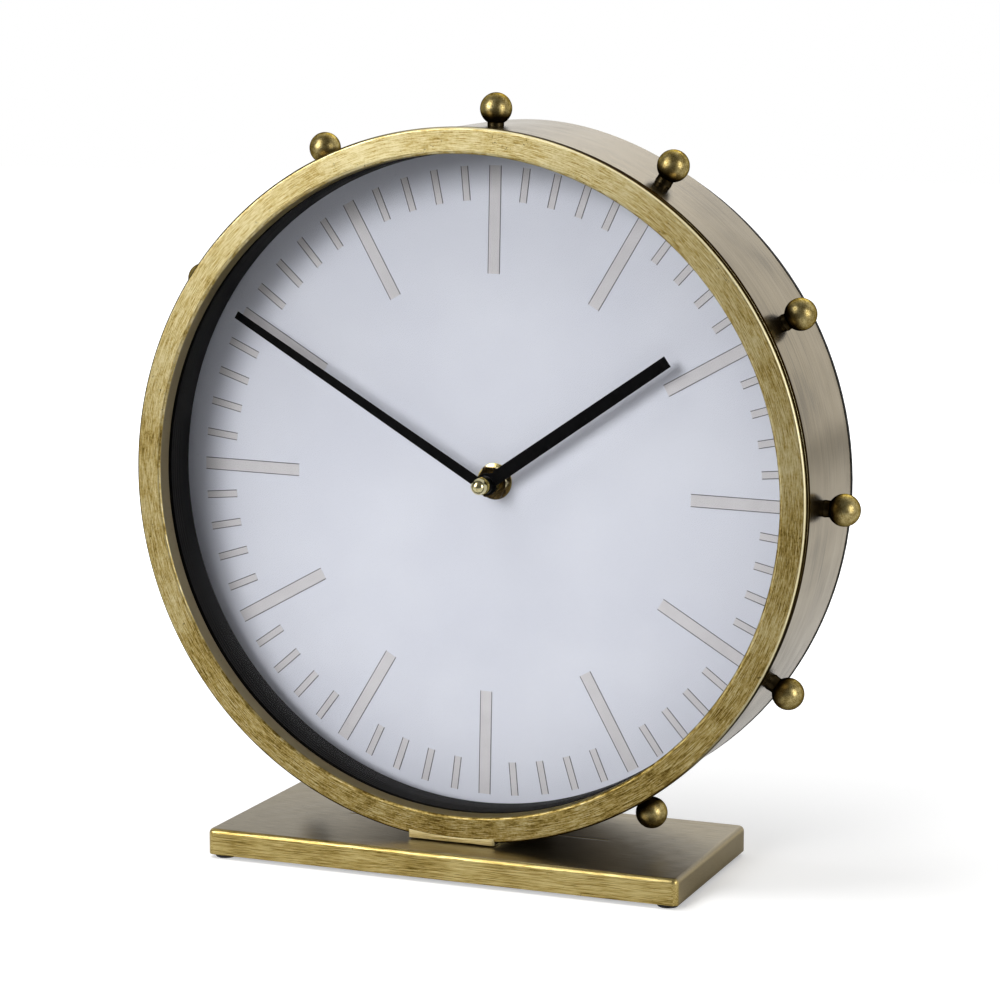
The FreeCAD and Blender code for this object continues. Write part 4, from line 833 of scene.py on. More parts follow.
@dataclass
class Shop:
    """Makes and dresses pieces.

    Args:
        made: the material of each slot, which it builds itself.
    """

    frame: dict
    made: dict[str, bpy.types.Material] = field(init=False)

    def __post_init__(self) -> None:
        """Builds one material for each slot."""
        self.made = {slot: finish.material() for slot, finish in FINISHES.items()}

    def piece(
        self, name: str, mesh: bpy.types.Mesh, slot: str, node: str, finish: Finish | None = None,
        body: str = "clock",
    ) -> None:
        """Shows a mesh as a piece of the clock.

        Args:
            name: the piece's name.
            mesh: its mesh, in place.
            slot: the record's material slot that it takes its finish from.
            node: the CAD node that it stands for.
            finish: its finish, if not the slot's own.
            body: the CAD body that it rides on.
        """
        made = bpy.data.objects.new(name, mesh)
        bpy.context.scene.collection.objects.link(made)
        mesh.materials.append(finish.material() if finish else self.made[slot])
        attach(made, body)
        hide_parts(node)
        LOG.info("piece %s: %d faces on %s", name, len(mesh.polygons), body)

    def skin(
        self, name: str, grid: Points, slot: str, node: str, finish: Finish | None = None,
        body: str = "clock", poles: bool = False, smooth: bool = True,
    ) -> None:
        """Shows a grid of points as a closed piece.

        Args:
            name, slot, node, finish, body: as for a piece.
            grid: points, first parameter by second by axis; the first always closes on itself.
            poles: whether the second parameter ends in poles instead of closing on itself.
            smooth: whether it is shaded as one curved surface.
        """
        points = grid.reshape(-1, 3)
        faces = outward(points, grid_faces(*grid.shape[:2], close_columns=not poles))
        self.piece(name, new_mesh(name, points, faces, smooth), slot, node, finish, body)

    def dress(self) -> None:
        """Gives each CAD node the finish of its slot."""
        for row in self.frame["record"]["subparts"]:
            node, material = self.frame["nodes"][row["node"]], self.made[row["material_slot"]]
            if not node.material_slots:
                node.data.materials.append(material)
            for holder in node.material_slots:
                holder.material = material
            LOG.info("dressed %s as %s", row["node"], material.name)


# --- Drum ---


@dataclass
class Drum:
    """Bezel ring, rolled band and ball studs.

    Args:
        shop: makes the pieces.
        opening: radius of the bezel's opening.
        plate: thickness of the bezel's front plate.
        groove, groove_depth: width and depth of the groove round its side.
        lip_step: how much smaller the lip behind the groove is.
        edge: radius of the bezel's front edges.
        corner: size of its finest corners.
        joint_at: angle of its brazed joint.
        uneven: height of the waves in its face.
        seam, seam_wide: depth and width of the dip at the joint.
        ring_steps, spacing: points round the bezel and the longest step across it.
        near_spacing: the step of the points about the joint.
        wall: thickness of the band.
        band_uneven: height of the waves in the band.
        spring, spring_at, spring_wide: how far the band springs out, at which angle and over how much.
        band_steps: points round the band.
        ball, neck, foot: radii of a stud's ball and of its neck at the ball and at the band.
        stand: height of a ball's centre above the band.
        studs_at: Y of the studs behind the bezel's face.
        studs_turn: how far the ring of studs is turned.
        sunk: how far a stud's foot reaches into the band.
        hand_set: hour, and how far outwards and clockwise its stud was set off by hand.
    """

    shop: Shop
    opening: float = 0.1232
    plate: float = 0.0034
    groove: float = 0.0006
    groove_depth: float = 0.0007
    lip_step: float = 0.0002
    edge: float = 0.0011
    corner: float = 0.00012
    joint_at: float = math.radians(-21.3)
    uneven: float = 0.00003
    seam: float = 0.00004
    seam_wide: float = 0.00028
    ring_steps: int = 540
    spacing: float = 0.0007
    near_spacing: float = 0.00015
    wall: float = 0.0012
    band_uneven: float = 0.00004
    spring: float = 0.0027
    spring_at: float = math.radians(5.0)
    spring_wide: float = 0.38
    band_steps: int = 480
    ball: float = 0.00599
    neck: float = 0.0031
    foot: float = 0.0033
    stand: float = 0.0074
    studs_at: float = 0.0303
    studs_turn: float = math.radians(1.4)
    sunk: float = 0.0002
    hand_set: tuple[tuple[int, float, float], ...] = (
        (11, 0.0010, 0.0008), (2, -0.0009, -0.0005), (3, -0.0005, 0.0), (12, -0.0003, 0.0)
    )

    def build(self) -> None:
        """Makes all pieces of the drum."""
        ring, sheet = Round.of("bezel_ring"), Round.of("drum_band")
        self.bezel(ring)
        self.band(ring, sheet)
        self.studs(ring, sheet.radius)

    def bezel(self, ring: Round) -> None:
        """The ring: a rounded outline with its side groove, carried round the axis.

        Its face leaves the flat by hand-work waves, and dips at its brazed joint by a bell curve of the
        angle. Closer points take the place of the even ones there.

        Args:
            ring: the bezel's place and size.
        """
        depth, behind, fine = ring.back - ring.front, self.plate + self.groove, self.corner
        inside, lip = ring.radius - self.groove_depth, ring.radius - self.lip_step
        outline = refined(rounded(np.array([
            (self.opening, 0.0, self.edge),
            (ring.radius, 0.0, self.edge),
            (ring.radius, self.plate, 2 * fine),
            (inside, self.plate, fine / 3),
            (inside, behind, fine / 3),
            (lip, behind, 2 * fine),
            (lip, depth, 6 * fine),
            (self.opening, depth, fine),
        ]), 7), self.spacing)
        near = self.joint_at + np.arange(-6, 7) * self.near_spacing / ring.radius
        even = around(self.ring_steps)
        even = even[np.abs(apart(even, self.joint_at)) > TURN / self.ring_steps]
        angle = np.sort(np.concatenate([even, near % TURN]))
        grid = turned(outline, ring.axis, ring.front, angle)
        angle = angle[:, None]
        face = np.clip(1 - outline[:, 1] / (2 * self.edge), 0, 1)
        dip = self.seam * np.exp(-((apart(angle, self.joint_at) * ring.radius / self.seam_wide) ** 2))
        grid[:, :, 1] += face * (self.uneven + waves(angle, outline[None, :, 0], 11, self.uneven) + dip)
        self.shop.skin("bezel", grid, "bezel_brass", "bezel_ring")

    def band(self, ring: Round, sheet: Round) -> None:
        """The rolled band: a thin closed wall carried round the axis, inside its CAD size by its waves.

        Near the top, where its ends meet, it springs out: a bell curve of the angle times the depth.

        Args:
            ring: the bezel's place and size.
            sheet: the band's.
        """
        start, end = sheet.front - ring.front, sheet.back - ring.front
        outline = refined(rounded(np.array([
            (sheet.radius - self.wall, start, 0.1 * MM),
            (sheet.radius, start, 0.1 * MM),
            (sheet.radius, end, 0.3 * MM),
            (sheet.radius - self.wall, end, 0.3 * MM),
        ]), 4), 2.0 * MM)
        angle, depth = around(self.band_steps)[:, None], outline[None, :, 1]
        grid = turned(outline, (0.0, 0.0), ring.front, angle[:, 0])
        sprung = self.spring * np.exp(-((apart(angle, self.spring_at) / self.spring_wide) ** 2))
        sprung = sprung * (depth - start) / (end - start)
        uneven = self.band_uneven + waves(angle, depth, 23, self.band_uneven)
        grid[:, :, ::2] *= (1 + (sprung - uneven) / sheet.radius)[:, :, None]
        grid[:, :, ::2] += ring.axis
        self.shop.skin("band", grid, "band_brass", "drum_band")

    def studs(self, ring: Round, seat: float) -> None:
        """Ball studs: part of a circle, a hollow neck and a spread foot, turned about each stud's own line.

        Four of them were set a little off by hand: outwards and clockwise by what hand_set says.

        Args:
            ring: the bezel's place and size.
            seat: the band's radius.
        """
        set_off = {hour: (lift, along) for hour, lift, along in self.hand_set}
        open_at = math.asin(self.neck / self.ball)
        swing, drop = np.linspace(0.0, math.pi - open_at, 30), np.linspace(0.0, 1.0, 9)[1:]
        turn = around(48)[:, None]
        for node in sorted(n for n in self.shop.frame["nodes"] if n.startswith("ball_stud_")):
            hour = int(node[-2:])
            lift, along = set_off.get(hour, (0.0, 0.0))
            lean = math.radians(30.0 * hour) + self.studs_turn + along / seat
            stand = self.stand + lift
            top = stand - self.ball * math.cos(open_at)
            sphere = np.stack([self.ball * np.sin(swing), stand + self.ball * np.cos(swing)], axis=1)
            skirt = np.stack([self.neck + (self.foot - self.neck) * drop ** 4,
                              top * (1 - drop) - self.sunk * drop], axis=1)
            profile = np.concatenate([sphere, skirt, [[0.0, -self.sunk]]])
            out = seat + profile[None, :, 1]
            side, behind = profile[None, :, 0] * np.cos(turn), profile[None, :, 0] * np.sin(turn)
            x = ring.axis[0] + out * math.sin(lean) + side * math.cos(lean)
            z = ring.axis[1] + out * math.cos(lean) - side * math.sin(lean)
            grid = np.stack([x, ring.front + self.studs_at + behind, z], axis=2)
            self.shop.skin(f"stud_{hour:02d}", grid, "stud_brass", node, poles=True)


# --- Window and dial ---


@dataclass
class Dial:
    """Black wall behind the glass and the printed marks on the card.

    Args:
        shop: makes the pieces.
        wall_thick, wall_length: the wall's thick front part.
        skirt_thick: thickness of the skirt behind it.
        ridge, ridge_pitch, ridges_to: height and pitch of its ridges, and the depth at which they stop.
        print_at: X and Z of the print's centre.
        print_turn: how far the print is turned.
        reach: distance from the print's centre to the bars' outer ends.
        hour_bar, minute_bar: length and width of a bar.
        line: width of a bar's outline.
        film: how far the grey lies behind the outlines.
    """

    shop: Shop
    wall_thick: float = 0.0073
    wall_length: float = 0.0143
    skirt_thick: float = 0.0025
    ridge: float = 0.00014
    ridge_pitch: float = 0.0017
    ridges_to: float = 0.0068
    print_at: tuple[float, float] = (0.0005, 0.1432)
    print_turn: float = math.radians(1.0)
    reach: float = 0.1201
    hour_bar: tuple[float, float] = (0.0403, 0.0049)
    minute_bar: tuple[float, float] = (0.0129, 0.0030)
    line: float = 0.00032
    film: float = 0.00003

    def build(self) -> None:
        """Makes the wall and the print."""
        self.wall()
        self.marks()

    def wall(self) -> None:
        """The spacer: a stepped ring with four shallow ridges near the glass, carried round the axis.

        Its thick front part is flush with the bezel's opening; the thin skirt behind it reaches the dial.
        """
        ring = Round.of("spacer_ring")
        length, tiny = ring.back - ring.front, 0.05 * MM
        inner, skirt, step = ring.radius - self.wall_thick, ring.radius - self.skirt_thick, self.wall_length
        depth = np.linspace(0.0, step - 2 * tiny, 120)
        wave = np.clip(np.cos(TURN * depth / self.ridge_pitch), 0, 1) ** 2 * (depth < self.ridges_to)
        side = np.stack([inner + 0.16 * MM - self.ridge * wave, depth], axis=1)
        end = [[inner + 4 * tiny, step], [skirt - tiny, step], [skirt, step + tiny], [skirt, length - tiny],
               [skirt + tiny, length], [ring.radius, length], [ring.radius, 0.0], [inner + 6 * tiny, 0.0]]
        grid = turned(np.concatenate([side, end]), ring.axis, ring.front, around(360))
        self.shop.skin("window_wall", grid, "spacer_black", "spacer_ring")

    def marks(self) -> None:
        """The print: sixty grey bars, each with two thin dark lines along its long sides."""
        front = Round.of("dial_marks").front
        minute = np.arange(60)
        length, width = (np.where(minute % 5 == 0, *both) for both in zip(self.hour_bar, self.minute_bar))
        turn, near, half = np.radians(6.0 * minute) + self.print_turn, self.reach - length, width / 2
        fills = self.bars(turn, self.line / 2 - half, half - self.line / 2, near, front + self.film)
        self.shop.piece("mark_fills", fills, "mark_ink", "dial_marks")
        left = np.concatenate([-half, half - self.line])
        lines = self.bars(np.tile(turn, 2), left, left + self.line, np.tile(near, 2), front)
        # A darker, thinner ink: crisp lines as dull as the grey between them.
        dark = Coated("dark_grey_printing_ink", "#6E6D72", "#646368", roughness=0.6,
                      specular=0.2, relief_mm=0.004, cloud_mm=9.0)
        self.shop.piece("mark_outlines", lines, "mark_ink", "dial_marks", dark)

    def bars(self, turn: Points, left: Points, right: Points, near: Points, front: float) -> bpy.types.Mesh:
        """Flat bars about the print's centre: a bar's eight corners are turned by its angle, all at once.

        Args:
            turn: each bar's angle, clockwise as seen from the front.
            left, right: its sides before it is turned.
            near: its inner end, as a distance from the centre.
            front: Y of its front.

        Returns:
            One mesh with all bars.
        """
        count, far = len(turn), np.full(len(turn), self.reach)
        across = np.stack([left, right, right, left] * 2, axis=1)
        along = np.stack([near, near, far, far] * 2, axis=1)
        depth = np.repeat([[front] * 4 + [Round.of("dial_marks").back] * 4], count, axis=0)
        sin, cos = np.sin(turn)[:, None], np.cos(turn)[:, None]
        x = self.print_at[0] + across * cos + along * sin
        z = self.print_at[1] - across * sin + along * cos
        points = np.stack([x, depth, z], axis=2).reshape(-1, 3)
        box = np.array([[0, 1, 2, 3], [7, 6, 5, 4], [0, 4, 5, 1], [1, 5, 6, 2], [2, 6, 7, 3], [3, 7, 4, 0]])
        faces = (box[None] + 8 * np.arange(count)[:, None, None]).reshape(-1, 4)
        return new_mesh("bars", points, outward(points, faces), smooth=False)


# --- Shaft and hands ---


@dataclass
class ShaftTrim:
    """Washer, hexagon nut and cap nut on the shaft, with the softened edges that turning leaves.

    Depth counts from the card here, and everything in front of it is below zero.

    Args:
        shop: makes the pieces.
        hexagon: distance from the shaft to the nut's corners.
        chamfered: from this distance outwards the nut's outline follows the hexagon.
        ball, ball_at: radius and depth of the cap's ball.
        waist: radius at which the ball opens into the cap's waist.
    """

    shop: Shop
    hexagon: float = 0.0066
    chamfered: float = 0.0056
    ball: float = 0.0031
    ball_at: float = -0.0156
    waist: float = 0.0020

    def build(self) -> None:
        """Makes the washer, the nut and the cap."""
        seat = Round.of("brass_washer")
        self.washer(seat)
        self.nut(seat)
        self.cap(seat)

    def washer(self, seat: Round) -> None:
        """Washer: a slightly dished plate, its outline carried round the shaft.

        Args:
            seat: the CAD washer's place; its back is the card's face.
        """
        plate = [(4.02, 0.0, 0.05), (4.02, -0.8, 0.1), (5.2, -0.8, 1.5), (6.9, -0.45, 0.2), (7.0, 0.0, 0.05)]
        outline = rounded(np.array(plate) * MM, 5, 0.02 * MM)
        # Turned brass in rings of bright gold and brown, with a painted highlight toward its top and painted
        # shade toward its bottom.
        worn = Metal("turned_brass_washer_painted_highlight_and_shade", "#F4E29A", "#8A7340", "#33281A",
                     roughness=0.2, grain=Grain.ROUND, centre=seat.axis, streak_mm=0.25, streak_long_mm=120.0,
                     cloud=0.2, cloud_mm=4.0, speck=0.0, relief_mm=0.003, painted_light_at_top=0.14)
        grid = turned(outline, seat.axis, seat.back, around(96))
        self.shop.skin("washer", grid, "bright_brass", "brass_washer", worn)

    def nut(self, seat: Round) -> None:
        """Hexagon nut: the distance from the shaft is the lesser of the hexagon's and the chamfer cone's.

        Args:
            seat: the CAD washer's place.
        """
        angle = around(240)
        side = math.radians(30.0)
        six = self.hexagon * math.cos(side) / np.cos((angle + side) % (2 * side) - side)[:, None]
        depth = np.array([-0.8, -0.8, -1.1, -2.0, -2.7, -2.9, -3.2, -3.2, -3.2, -0.8]) * MM
        cone = np.array([4.02, 5.9, 6.6, 6.6, 6.6, 6.35, 5.75, 5.0, 4.02, 4.02]) * MM
        reach = np.where(cone > self.chamfered, np.minimum(six, cone), cone)
        grid = turned(np.stack([cone, depth], axis=1), (0.0, 0.0), seat.back, angle)
        grid[:, :, ::2] *= (reach / cone)[:, :, None]
        grid[:, :, ::2] += seat.axis
        # Bronzed brass: brown flats, with a painted highlight on the corners toward 2 o'clock and painted
        # shade on the rest of them.
        dark = Metal("bronzed_brass_nut", "#8E7848", "#54432A", "#2C2216", aged="#4A3B20",
                     rim="#F4E8BC", rim_from=0.0052, centre=seat.axis, roughness=0.24, streak_mm=0.3,
                     cloud=0.3, cloud_mm=3.0, speck=0.0, relief_mm=0.003)
        self.shop.skin("shaft_nut", grid, "bright_brass", "hex_nut", dark, smooth=False)

    def cap(self, seat: Round) -> None:
        """Cap nut: ball, deep waist and thin rim, one outline from the bore round to the pole.

        Args:
            seat: the CAD washer's place.
        """
        swing = np.linspace(0.0, math.pi - math.asin(self.waist / self.ball), 26)
        ball = np.stack([self.ball * np.sin(swing), self.ball_at - self.ball * np.cos(swing)], axis=1)
        foot = np.array([[1.95, -13.15], [2.0, -13.06], [2.1, -13.05], [2.95, -13.05], [3.05, -13.07],
                         [3.15, -13.12], [3.19, -13.19], [3.2, -13.1], [3.18, -12.9], [3.05, -12.8],
                         [1.5, -12.8], [1.47, -12.85], [1.47, -15.2], [0.0, -15.4]]) * MM
        grid = turned(np.concatenate([ball, foot]), seat.axis, seat.back, around(72))
        # Tumbled brass without lacquer: pale and soft.
        pale = Metal("tumbled_pale_brass", "#F2EBC0", "#E0D49C", "#B5A670", roughness=0.2,
                     streak_mm=0.3, cloud=0.3, cloud_mm=3.0, speck=0.0, relief_mm=0.002)
        self.shop.skin("cap", grid, "bright_brass", "cap_nut", pale, body="minute", poles=True)


# --- Foot ---


@dataclass
class Saddle:
    """The block between foot and drum, brazed flush to the bezel's face.

    Args:
        shop: makes the pieces.
        soften: how far its lower edges are broken.
        braze: how far up the bezel's face it is brazed on flush.
        slot, slot_deep: height and depth of the gap that its front leaves above the foot.
        hold: how far under its top a row of points keeps the front flat.
    """

    shop: Shop
    soften: float = 0.00035
    braze: float = 0.0016
    slot: float = 0.0004
    slot_deep: float = 0.0020
    hold: float = 0.00008

    def build(self) -> None:
        """A closed side profile carried across, each end closing to a point in its middle.

        The profile's top follows what the block touches at each depth: the circle of the bezel less the
        braze, which fills the bezel's rounded edge, then the bezel's own circle, then the band's. Near
        both ends the whole profile shrinks by the broken edge.
        """
        low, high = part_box("saddle")
        ring, band = Round.of("bezel_ring"), Round.of("drum_band").radius
        cut, end, lip = self.soften, high.y - low.y, ring.back - ring.front
        step = cut * np.array([0.0, 0.3, 1.0])
        run = np.linspace(low.x + cut, high.x - cut, 42)[1:-1]
        across = np.concatenate([low.x + step, run, high.x - step[::-1]])[None, :]
        shrink = np.concatenate([step[::-1], 0.0 * run, step])[None, :]
        depth = np.array([
            self.slot_deep, self.slot_deep, cut, 0.3 * cut, 0.0, 0.0, 0.0, self.braze, self.braze,
            lip - 0.05 * MM, lip, end - cut, end, end, end - 0.3 * cut, end - cut,
        ])[:, None]
        lift, slot = step[:, None], np.array([[0.0], [self.slot]])
        brazed = ring.radius - self.braze
        radius = np.array([brazed, brazed, ring.radius, ring.radius, band, band, band + cut])[:, None]
        top = ring.axis[1] - np.sqrt(radius ** 2 - (across - ring.axis[0]) ** 2)
        foot = low.z + shrink
        hold = top[:1] - self.hold
        z = np.concatenate([foot + slot, foot + self.slot + lift, hold, top, foot + lift[::-1]])
        y = low.y + np.clip(depth, shrink, end - shrink)
        grid = np.stack([np.broadcast_to(across, z.shape), y, z], axis=2)
        first, last = (np.broadcast_to(grid[:, k].mean(axis=0), (len(grid), 1, 3)) for k in (0, -1))
        grid = np.concatenate([first, grid, last], axis=1)
        self.shop.skin("saddle_block", grid, "saddle_brass", "saddle", poles=True)


@dataclass
class Foot:
    """The folded tray of the foot.

    Args:
        shop: makes the pieces.
        corner: radius of its four upright corners.
        top_round: radius of the fold along its top.
        wall: thickness of the sheet.
        steps: points along each side.
        sink, uneven: how far its top sinks in the middle, and the waves in it.
        crease_at, crease, crease_wide: distance from the back, depth and width of a crease in the top.
        crease_from, wander: X at which the crease starts, and how far it wanders.
    """

    shop: Shop
    corner: float = 0.0025
    top_round: float = 0.0020
    wall: float = 0.0012
    steps: int = 30
    sink: float = 0.00006
    uneven: float = 0.00005
    crease_at: float = 0.0060
    crease: float = 0.00012
    crease_wide: float = 0.0007
    crease_from: float = 0.030
    wander: float = 0.0004

    def build(self) -> None:
        """The tray's skin: a wall profile carried round a rounded rectangle, closed to a line on the top.

        Each ring of the skin is the foot's outline drawn in by an inset: straight sides shorter by it and
        corners of the radius left, never under a tenth of a millimetre. The top sinks by slow waves.
        """
        low, high = (np.array(corner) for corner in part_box("base_tray"))
        half, middle = (high - low)[:2] / 2, (high + low)[:2] / 2
        bottom, top, inner, r = low[2], high[2], high[2] - self.wall, self.top_round
        arc = np.linspace(0, math.pi / 2, 9)[1:]
        start, shoulder = bottom + 0.25 * MM, top - r
        rise = np.linspace(start, shoulder, math.ceil((shoulder - start) / (1.2 * MM)) + 1)
        inward = np.linspace(r, half[1] - 1e-4, 46)[1:]
        inset, height = np.concatenate([
            [[self.wall, bottom], [0.25 * MM, bottom], [0.07 * MM, bottom + 0.07 * MM]],
            np.stack([0.0 * rise, rise], axis=1),
            np.stack([r - r * np.cos(arc), shoulder + r * np.sin(arc)], axis=1),
            np.stack([inward, np.full(len(inward), top)], axis=1),
            [[half[1] - 1e-4, inner], [self.wall + 0.8 * MM, inner], [self.wall, inner - 0.8 * MM]],
        ]).T
        place, way = self.outline()
        radius = np.maximum(self.corner - inset, 0.1 * MM)[None, :, None]
        core = np.maximum(half - inset[None, :, None] - radius, 0.0)
        x, y = np.moveaxis(middle + place[:, None] * core + way[:, None] * radius, 2, 0)
        crease_y = high[1] - self.crease_at + self.wander * np.sin(x * 60.0)
        crease = self.crease * np.exp(-(((y - crease_y) / self.crease_wide) ** 2)) * (x > self.crease_from)
        sink = np.clip(self.sink + waves(x * 40.0, y, 31, self.uneven) + crease, 0.0, 0.3 * MM)
        z = height - np.where(height >= top - 1e-6, sink, 0.0)
        self.shop.skin("foot_tray", np.stack([x, y, z], axis=2), "base_brass", "base_tray")

    def outline(self) -> tuple[Points, Points]:
        """Where each point of a rounded rectangle sits, apart from its size.

        Returns:
            Its place between the centres of the corners, which are at plus and minus one in X and Y, and
            the direction from there to the edge.
        """
        spots = np.array([(1, -1), (1, 1), (-1, 1), (-1, -1)])
        share = np.linspace(0, 1, self.steps + 2)[1:-1, None]
        swing = np.append(np.linspace(0, 90, 7), np.full(self.steps, 90.0))
        place, way = [], []
        for index, (corner, after) in enumerate(zip(spots, np.roll(spots, -1, axis=0))):
            angle = np.radians(90.0 * (index - 1) + swing)
            place += [np.tile(corner, (7, 1)), corner + (after - corner) * share]
            way.append(np.stack([np.cos(angle), np.sin(angle)], axis=1))
        return np.concatenate(place), np.concatenate(way)


# --- Back ---


@dataclass
class BackScrews:
    """Four countersunk screws with cross recesses.

    Args:
        shop: makes the pieces.
        head: radius of a head.
        shank: radius of the shank.
        slot_width, slot_reach, slot_depth: width, reach from the middle and depth of the cross.
        slope: how wide the recess's sides are.
        steps: points round a head.
    """

    shop: Shop
    head: float = 0.0036
    shank: float = 0.00195
    slot_width: float = 0.0009
    slot_reach: float = 0.0021
    slot_depth: float = 0.0010
    slope: float = 0.00012
    steps: int = 96

    def build(self) -> None:
        """A screw head is a grid of radius and angle whose depth drops inside the cross.

        The drop is the recess depth where the nearer of the two coordinates is inside the slot's half
        width and the farther one inside its reach, with sloping sides.
        """
        low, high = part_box("back_screws")
        middle = ((low.x + high.x) / 2, (low.z + high.z) / 2)
        ring = math.hypot((high.x - low.x) / 2 - self.head, (high.z - low.z) / 2 - self.head)
        angle = around(self.steps)[:, None]
        radius = np.linspace(0.0, self.head - 0.1 * MM, 34)[None, :]
        u, v = np.abs(radius * np.cos(angle)), np.abs(radius * np.sin(angle))
        inside = np.clip((self.slot_width / 2 - np.minimum(u, v)) / self.slope + 0.5, 0, 1)
        inside = inside * np.clip((self.slot_reach - np.maximum(u, v)) / (3 * self.slope), 0, 1)
        rim = np.array([[self.head, high.y - 0.08 * MM], [self.head - 0.05 * MM, high.y - 0.3 * MM],
                        [self.shank, high.y - 1.7 * MM], [self.shank, low.y], [0.0, low.y]])
        shank_x, shank_y = (np.broadcast_to(column, (self.steps, len(rim))) for column in rim.T)
        across = np.hstack([np.broadcast_to(radius, u.shape), shank_x])
        depth = np.hstack([high.y - inside * self.slot_depth, shank_y])
        for index in range(4):
            bearing = math.radians(45.0 + 90.0 * index)
            x = middle[0] + ring * math.sin(bearing) + across * np.sin(angle + 0.4 * index)
            z = middle[1] + ring * math.cos(bearing) + across * np.cos(angle + 0.4 * index)
            grid = np.stack([x, depth, z], axis=2)
            self.shop.skin(f"back_screw_{index + 1}", grid, "steel", "back_screws", poles=True)


# --- Studio ---


class Shows(Enum):
    """Where a lamp's light shows."""

    EVERYWHERE = "matt and shiny surfaces"
    ON_MATT = "matt surfaces only"
    ON_SHINY = "shiny surfaces only"


def stood(
    name: str, data: bpy.types.ID, right: Points, back: Points, spot: tuple[float, float, float]
) -> bpy.types.Object:
    """Adds a camera or lamp to the scene, looking away from its back direction.

    Args:
        name: its name.
        data: the camera or lamp.
        right, back: its own right and back directions, square to each other.
        spot: where it stands.

    Returns:
        The object.
    """
    made = bpy.data.objects.new(name, data)
    bpy.context.scene.collection.objects.link(made)
    rows = np.vstack([np.stack([right, np.cross(back, right), back, spot], axis=1), [0.0, 0.0, 0.0, 1.0]])
    made.matrix_world = Matrix(rows.tolist())
    return made


@dataclass
class Lamp:
    """A soft box: its place, what it points at, its size and its strength.

    Args:
        name: the lamp's name.
        place: where it stands.
        size: width and height of its face.
        watts: its power.
        shows: which surfaces it lights.
        spread: how wide its beam opens, in degrees.
        target: what it points at.
    """

    name: str
    place: tuple[float, float, float]
    size: tuple[float, float]
    watts: float
    shows: Shows = Shows.EVERYWHERE
    spread: float = 180.0
    target: tuple[float, float, float] = (0.0, 0.0, 0.14)

    def light(self) -> None:
        """Adds the lamp to the scene."""
        data = bpy.data.lights.new(self.name, "AREA")
        data.shape = "RECTANGLE"
        data.size, data.size_y = self.size
        data.energy, data.spread = self.watts, math.radians(self.spread)
        back = np.array(self.place) - np.array(self.target)
        right = np.cross([0.0, 0.0, 1.0], back)
        lamp = stood(self.name, data, right / np.linalg.norm(right), back / np.linalg.norm(back), self.place)
        lamp.visible_camera = False
        lamp.visible_glossy = self.shows is not Shows.ON_MATT
        lamp.visible_diffuse = self.shows is not Shows.ON_SHINY


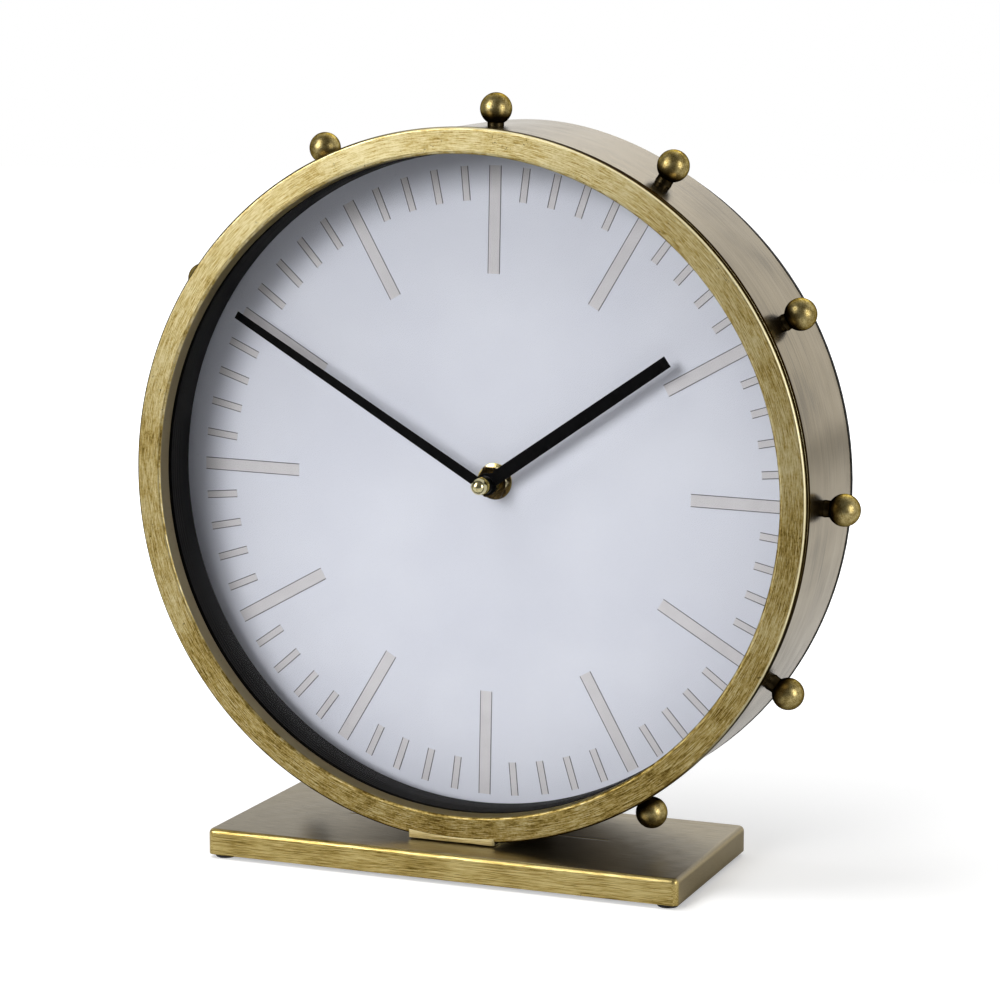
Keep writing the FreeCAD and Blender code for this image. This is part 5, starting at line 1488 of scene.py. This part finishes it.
@dataclass
class Studio:
    """Camera, white floor, surround and soft boxes.

    Args:
        surround: strength of the surround as a soft light from all sides.
        room: strength of the room in front of the table, as polished pieces mirror it.
        table_front: Y over which the white table in front gives way to the dark room.
        table_behind: extra light of the table behind the clock, as shiny pieces mirror it.
        floor_near, floor_far: light that the floor adds of its own to what the camera sees.
        floor_within: distances over which the near one gives way to the far one.
        lens: focal length in millimetres.
        angles: the camera's azimuth, elevation and roll in degrees.
        camera_at: where the camera stands.
        lamps: the soft boxes.
    """

    surround: float = 0.30
    room: float = 0.12
    table_front: tuple[float, float] = (-0.8, -0.4)
    table_behind: float = 0.22
    floor_near: float = 0.42
    floor_far: float = 1.05
    floor_within: tuple[float, float] = (0.22, 0.5)
    lens: float = 105.908
    angles: tuple[float, float, float] = (21.761, 8.585, 0.101)
    camera_at: tuple[float, float, float] = (0.4120, -1.0147, 0.3035)
    lamps: tuple[Lamp, ...] = (
        Lamp("key_box", (-0.66, -2.15, 0.85), (1.0, 1.0), 3.05, Shows.ON_MATT, 44.0, (-0.055, 0.0, 0.12)),
        Lamp("gloss_card", (-0.68, -1.0, 0.61), (0.5, 0.5), 6.8, Shows.ON_SHINY),
        Lamp("left_card", (-1.0, -1.0, 0.3), (0.7, 0.8), 1.5, Shows.ON_SHINY),
        Lamp("right_card", (1.05, -0.42, 0.40), (0.4, 0.7), 5.0, Shows.ON_SHINY),
        Lamp("edge_box", (-0.5, -0.75, 1.0), (0.5, 0.5), 3.0, Shows.ON_SHINY),
        Lamp("top_box", (-0.4, -0.3, 1.35), (0.8, 0.8), 11.0, Shows.ON_MATT),
        Lamp("back_box", (0.0, 1.2, 1.2), (0.8, 0.8), 8.0, target=(0.0, 0.9, 0.0)),
    )

    def build(self) -> None:
        """Sets up the whole studio."""
        self.camera()
        self.floor()
        self.world()
        for lamp in self.lamps:
            lamp.light()
        bpy.context.scene.view_settings.view_transform = "Standard"

    def camera(self) -> None:
        """Places the camera: its level right direction turned by the roll about its back direction."""
        data = bpy.data.cameras.new("camera")
        data.sensor_width, data.lens = 36.0, self.lens
        data.clip_start, data.clip_end = 0.05, 60.0
        azimuth, elevation, roll = np.radians(self.angles)
        level = np.array([math.cos(azimuth), math.sin(azimuth), 0.0])
        back = np.array([math.sin(azimuth) * math.cos(elevation), -math.cos(azimuth) * math.cos(elevation),
                         math.sin(elevation)])
        right = level * math.cos(roll) + np.cross(back, level) * math.sin(roll)
        bpy.context.scene.camera = stood("camera", data, right, back, self.camera_at)

    def floor(self) -> None:
        """A wide pale table top that is white to the camera and keeps the clock's shadow."""
        half = 6.0
        points = np.array([[-half, -half, 0.0], [half, -half, 0.0], [half, half, 0.0], [-half, half, 0.0]])
        mesh = new_mesh("floor", points, np.array([[0, 1, 2, 3]]), smooth=False)
        floor = bpy.data.objects.new("floor", mesh)
        bpy.context.scene.collection.objects.link(floor)
        made = bpy.data.materials.new("white_studio_table")
        made.use_nodes = True
        made.node_tree.nodes.clear()
        node = partial(add, made.node_tree)
        here = node("TexCoord", out="Object")
        away = node("VectorMath", (here,), "LENGTH", "Value")
        depth = node("SeparateXYZ", (here,), out="Y")
        beyond = node("MapRange", (depth, *self.table_front, 1.0, 0.0))
        matt = node("BsdfDiffuse", {"Color": node("Mix", {0: beyond, 6: "#DEDEDE", 7: "#3C3C3C"}, **COLOURS)})
        level = node("MapRange", (away, *self.floor_within, self.floor_near, self.floor_far))
        behind = node("MapRange", (depth, 0.0, 0.3, 0.0, self.table_behind))
        mirrored = node("Math", (node("LightPath", out="Is Glossy Ray"), behind), "MULTIPLY")
        strength = node("Math", (node("LightPath", out="Is Camera Ray"), level, mirrored), "MULTIPLY_ADD")
        glow = node("Emission", {"Strength": strength})
        node("OutputMaterial", {"Surface": node("AddShader", (matt, glow))})
        mesh.materials.append(made)

    def world(self) -> None:
        """A white surround: full white where it is seen, dimmer in front for mirrors, softer as a light."""
        world = bpy.data.worlds.new("white_surround")
        bpy.context.scene.world = world
        world.use_nodes = True
        world.node_tree.nodes.clear()
        node = partial(add, world.node_tree)
        camera, through, matt, shiny = (node("LightPath", out=f"Is {ray} Ray")
                                        for ray in ("Camera", "Transmission", "Diffuse", "Glossy"))
        behind = node("SeparateXYZ", (node("TexCoord", out="Generated"),), out="Y")
        mirrored = node("Math", (shiny, node("MapRange", (behind, -0.1, 0.4, self.room, 1.0))), "MULTIPLY")
        soft = node("Math", (matt, self.surround), "MULTIPLY")
        dim = node("Math", (soft, mirrored), "MAXIMUM")
        strength = node("Math", (dim, node("Math", (camera, through), "MAXIMUM")), "MAXIMUM")
        glow = node("Background", {"Color": "#FFFFFF", "Strength": strength})
        node("OutputWorld", {"Surface": glow})


def corners(box: tuple) -> list[list[float]]:
    """A box as two plain lists of numbers."""
    return [[float(v) for v in corner] for corner in box]


def main() -> None:
    """Builds the clock's looks on the frame, then the studio."""
    logging.basicConfig(level=logging.INFO, format="%(name)s %(message)s")
    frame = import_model()
    shop = Shop(frame)
    shop.dress()
    for part in (Drum, Dial, ShaftTrim, Saddle, Foot, BackScrews):
        part(shop).build()
    Studio().build()


if __name__ == "__main__":
    main()
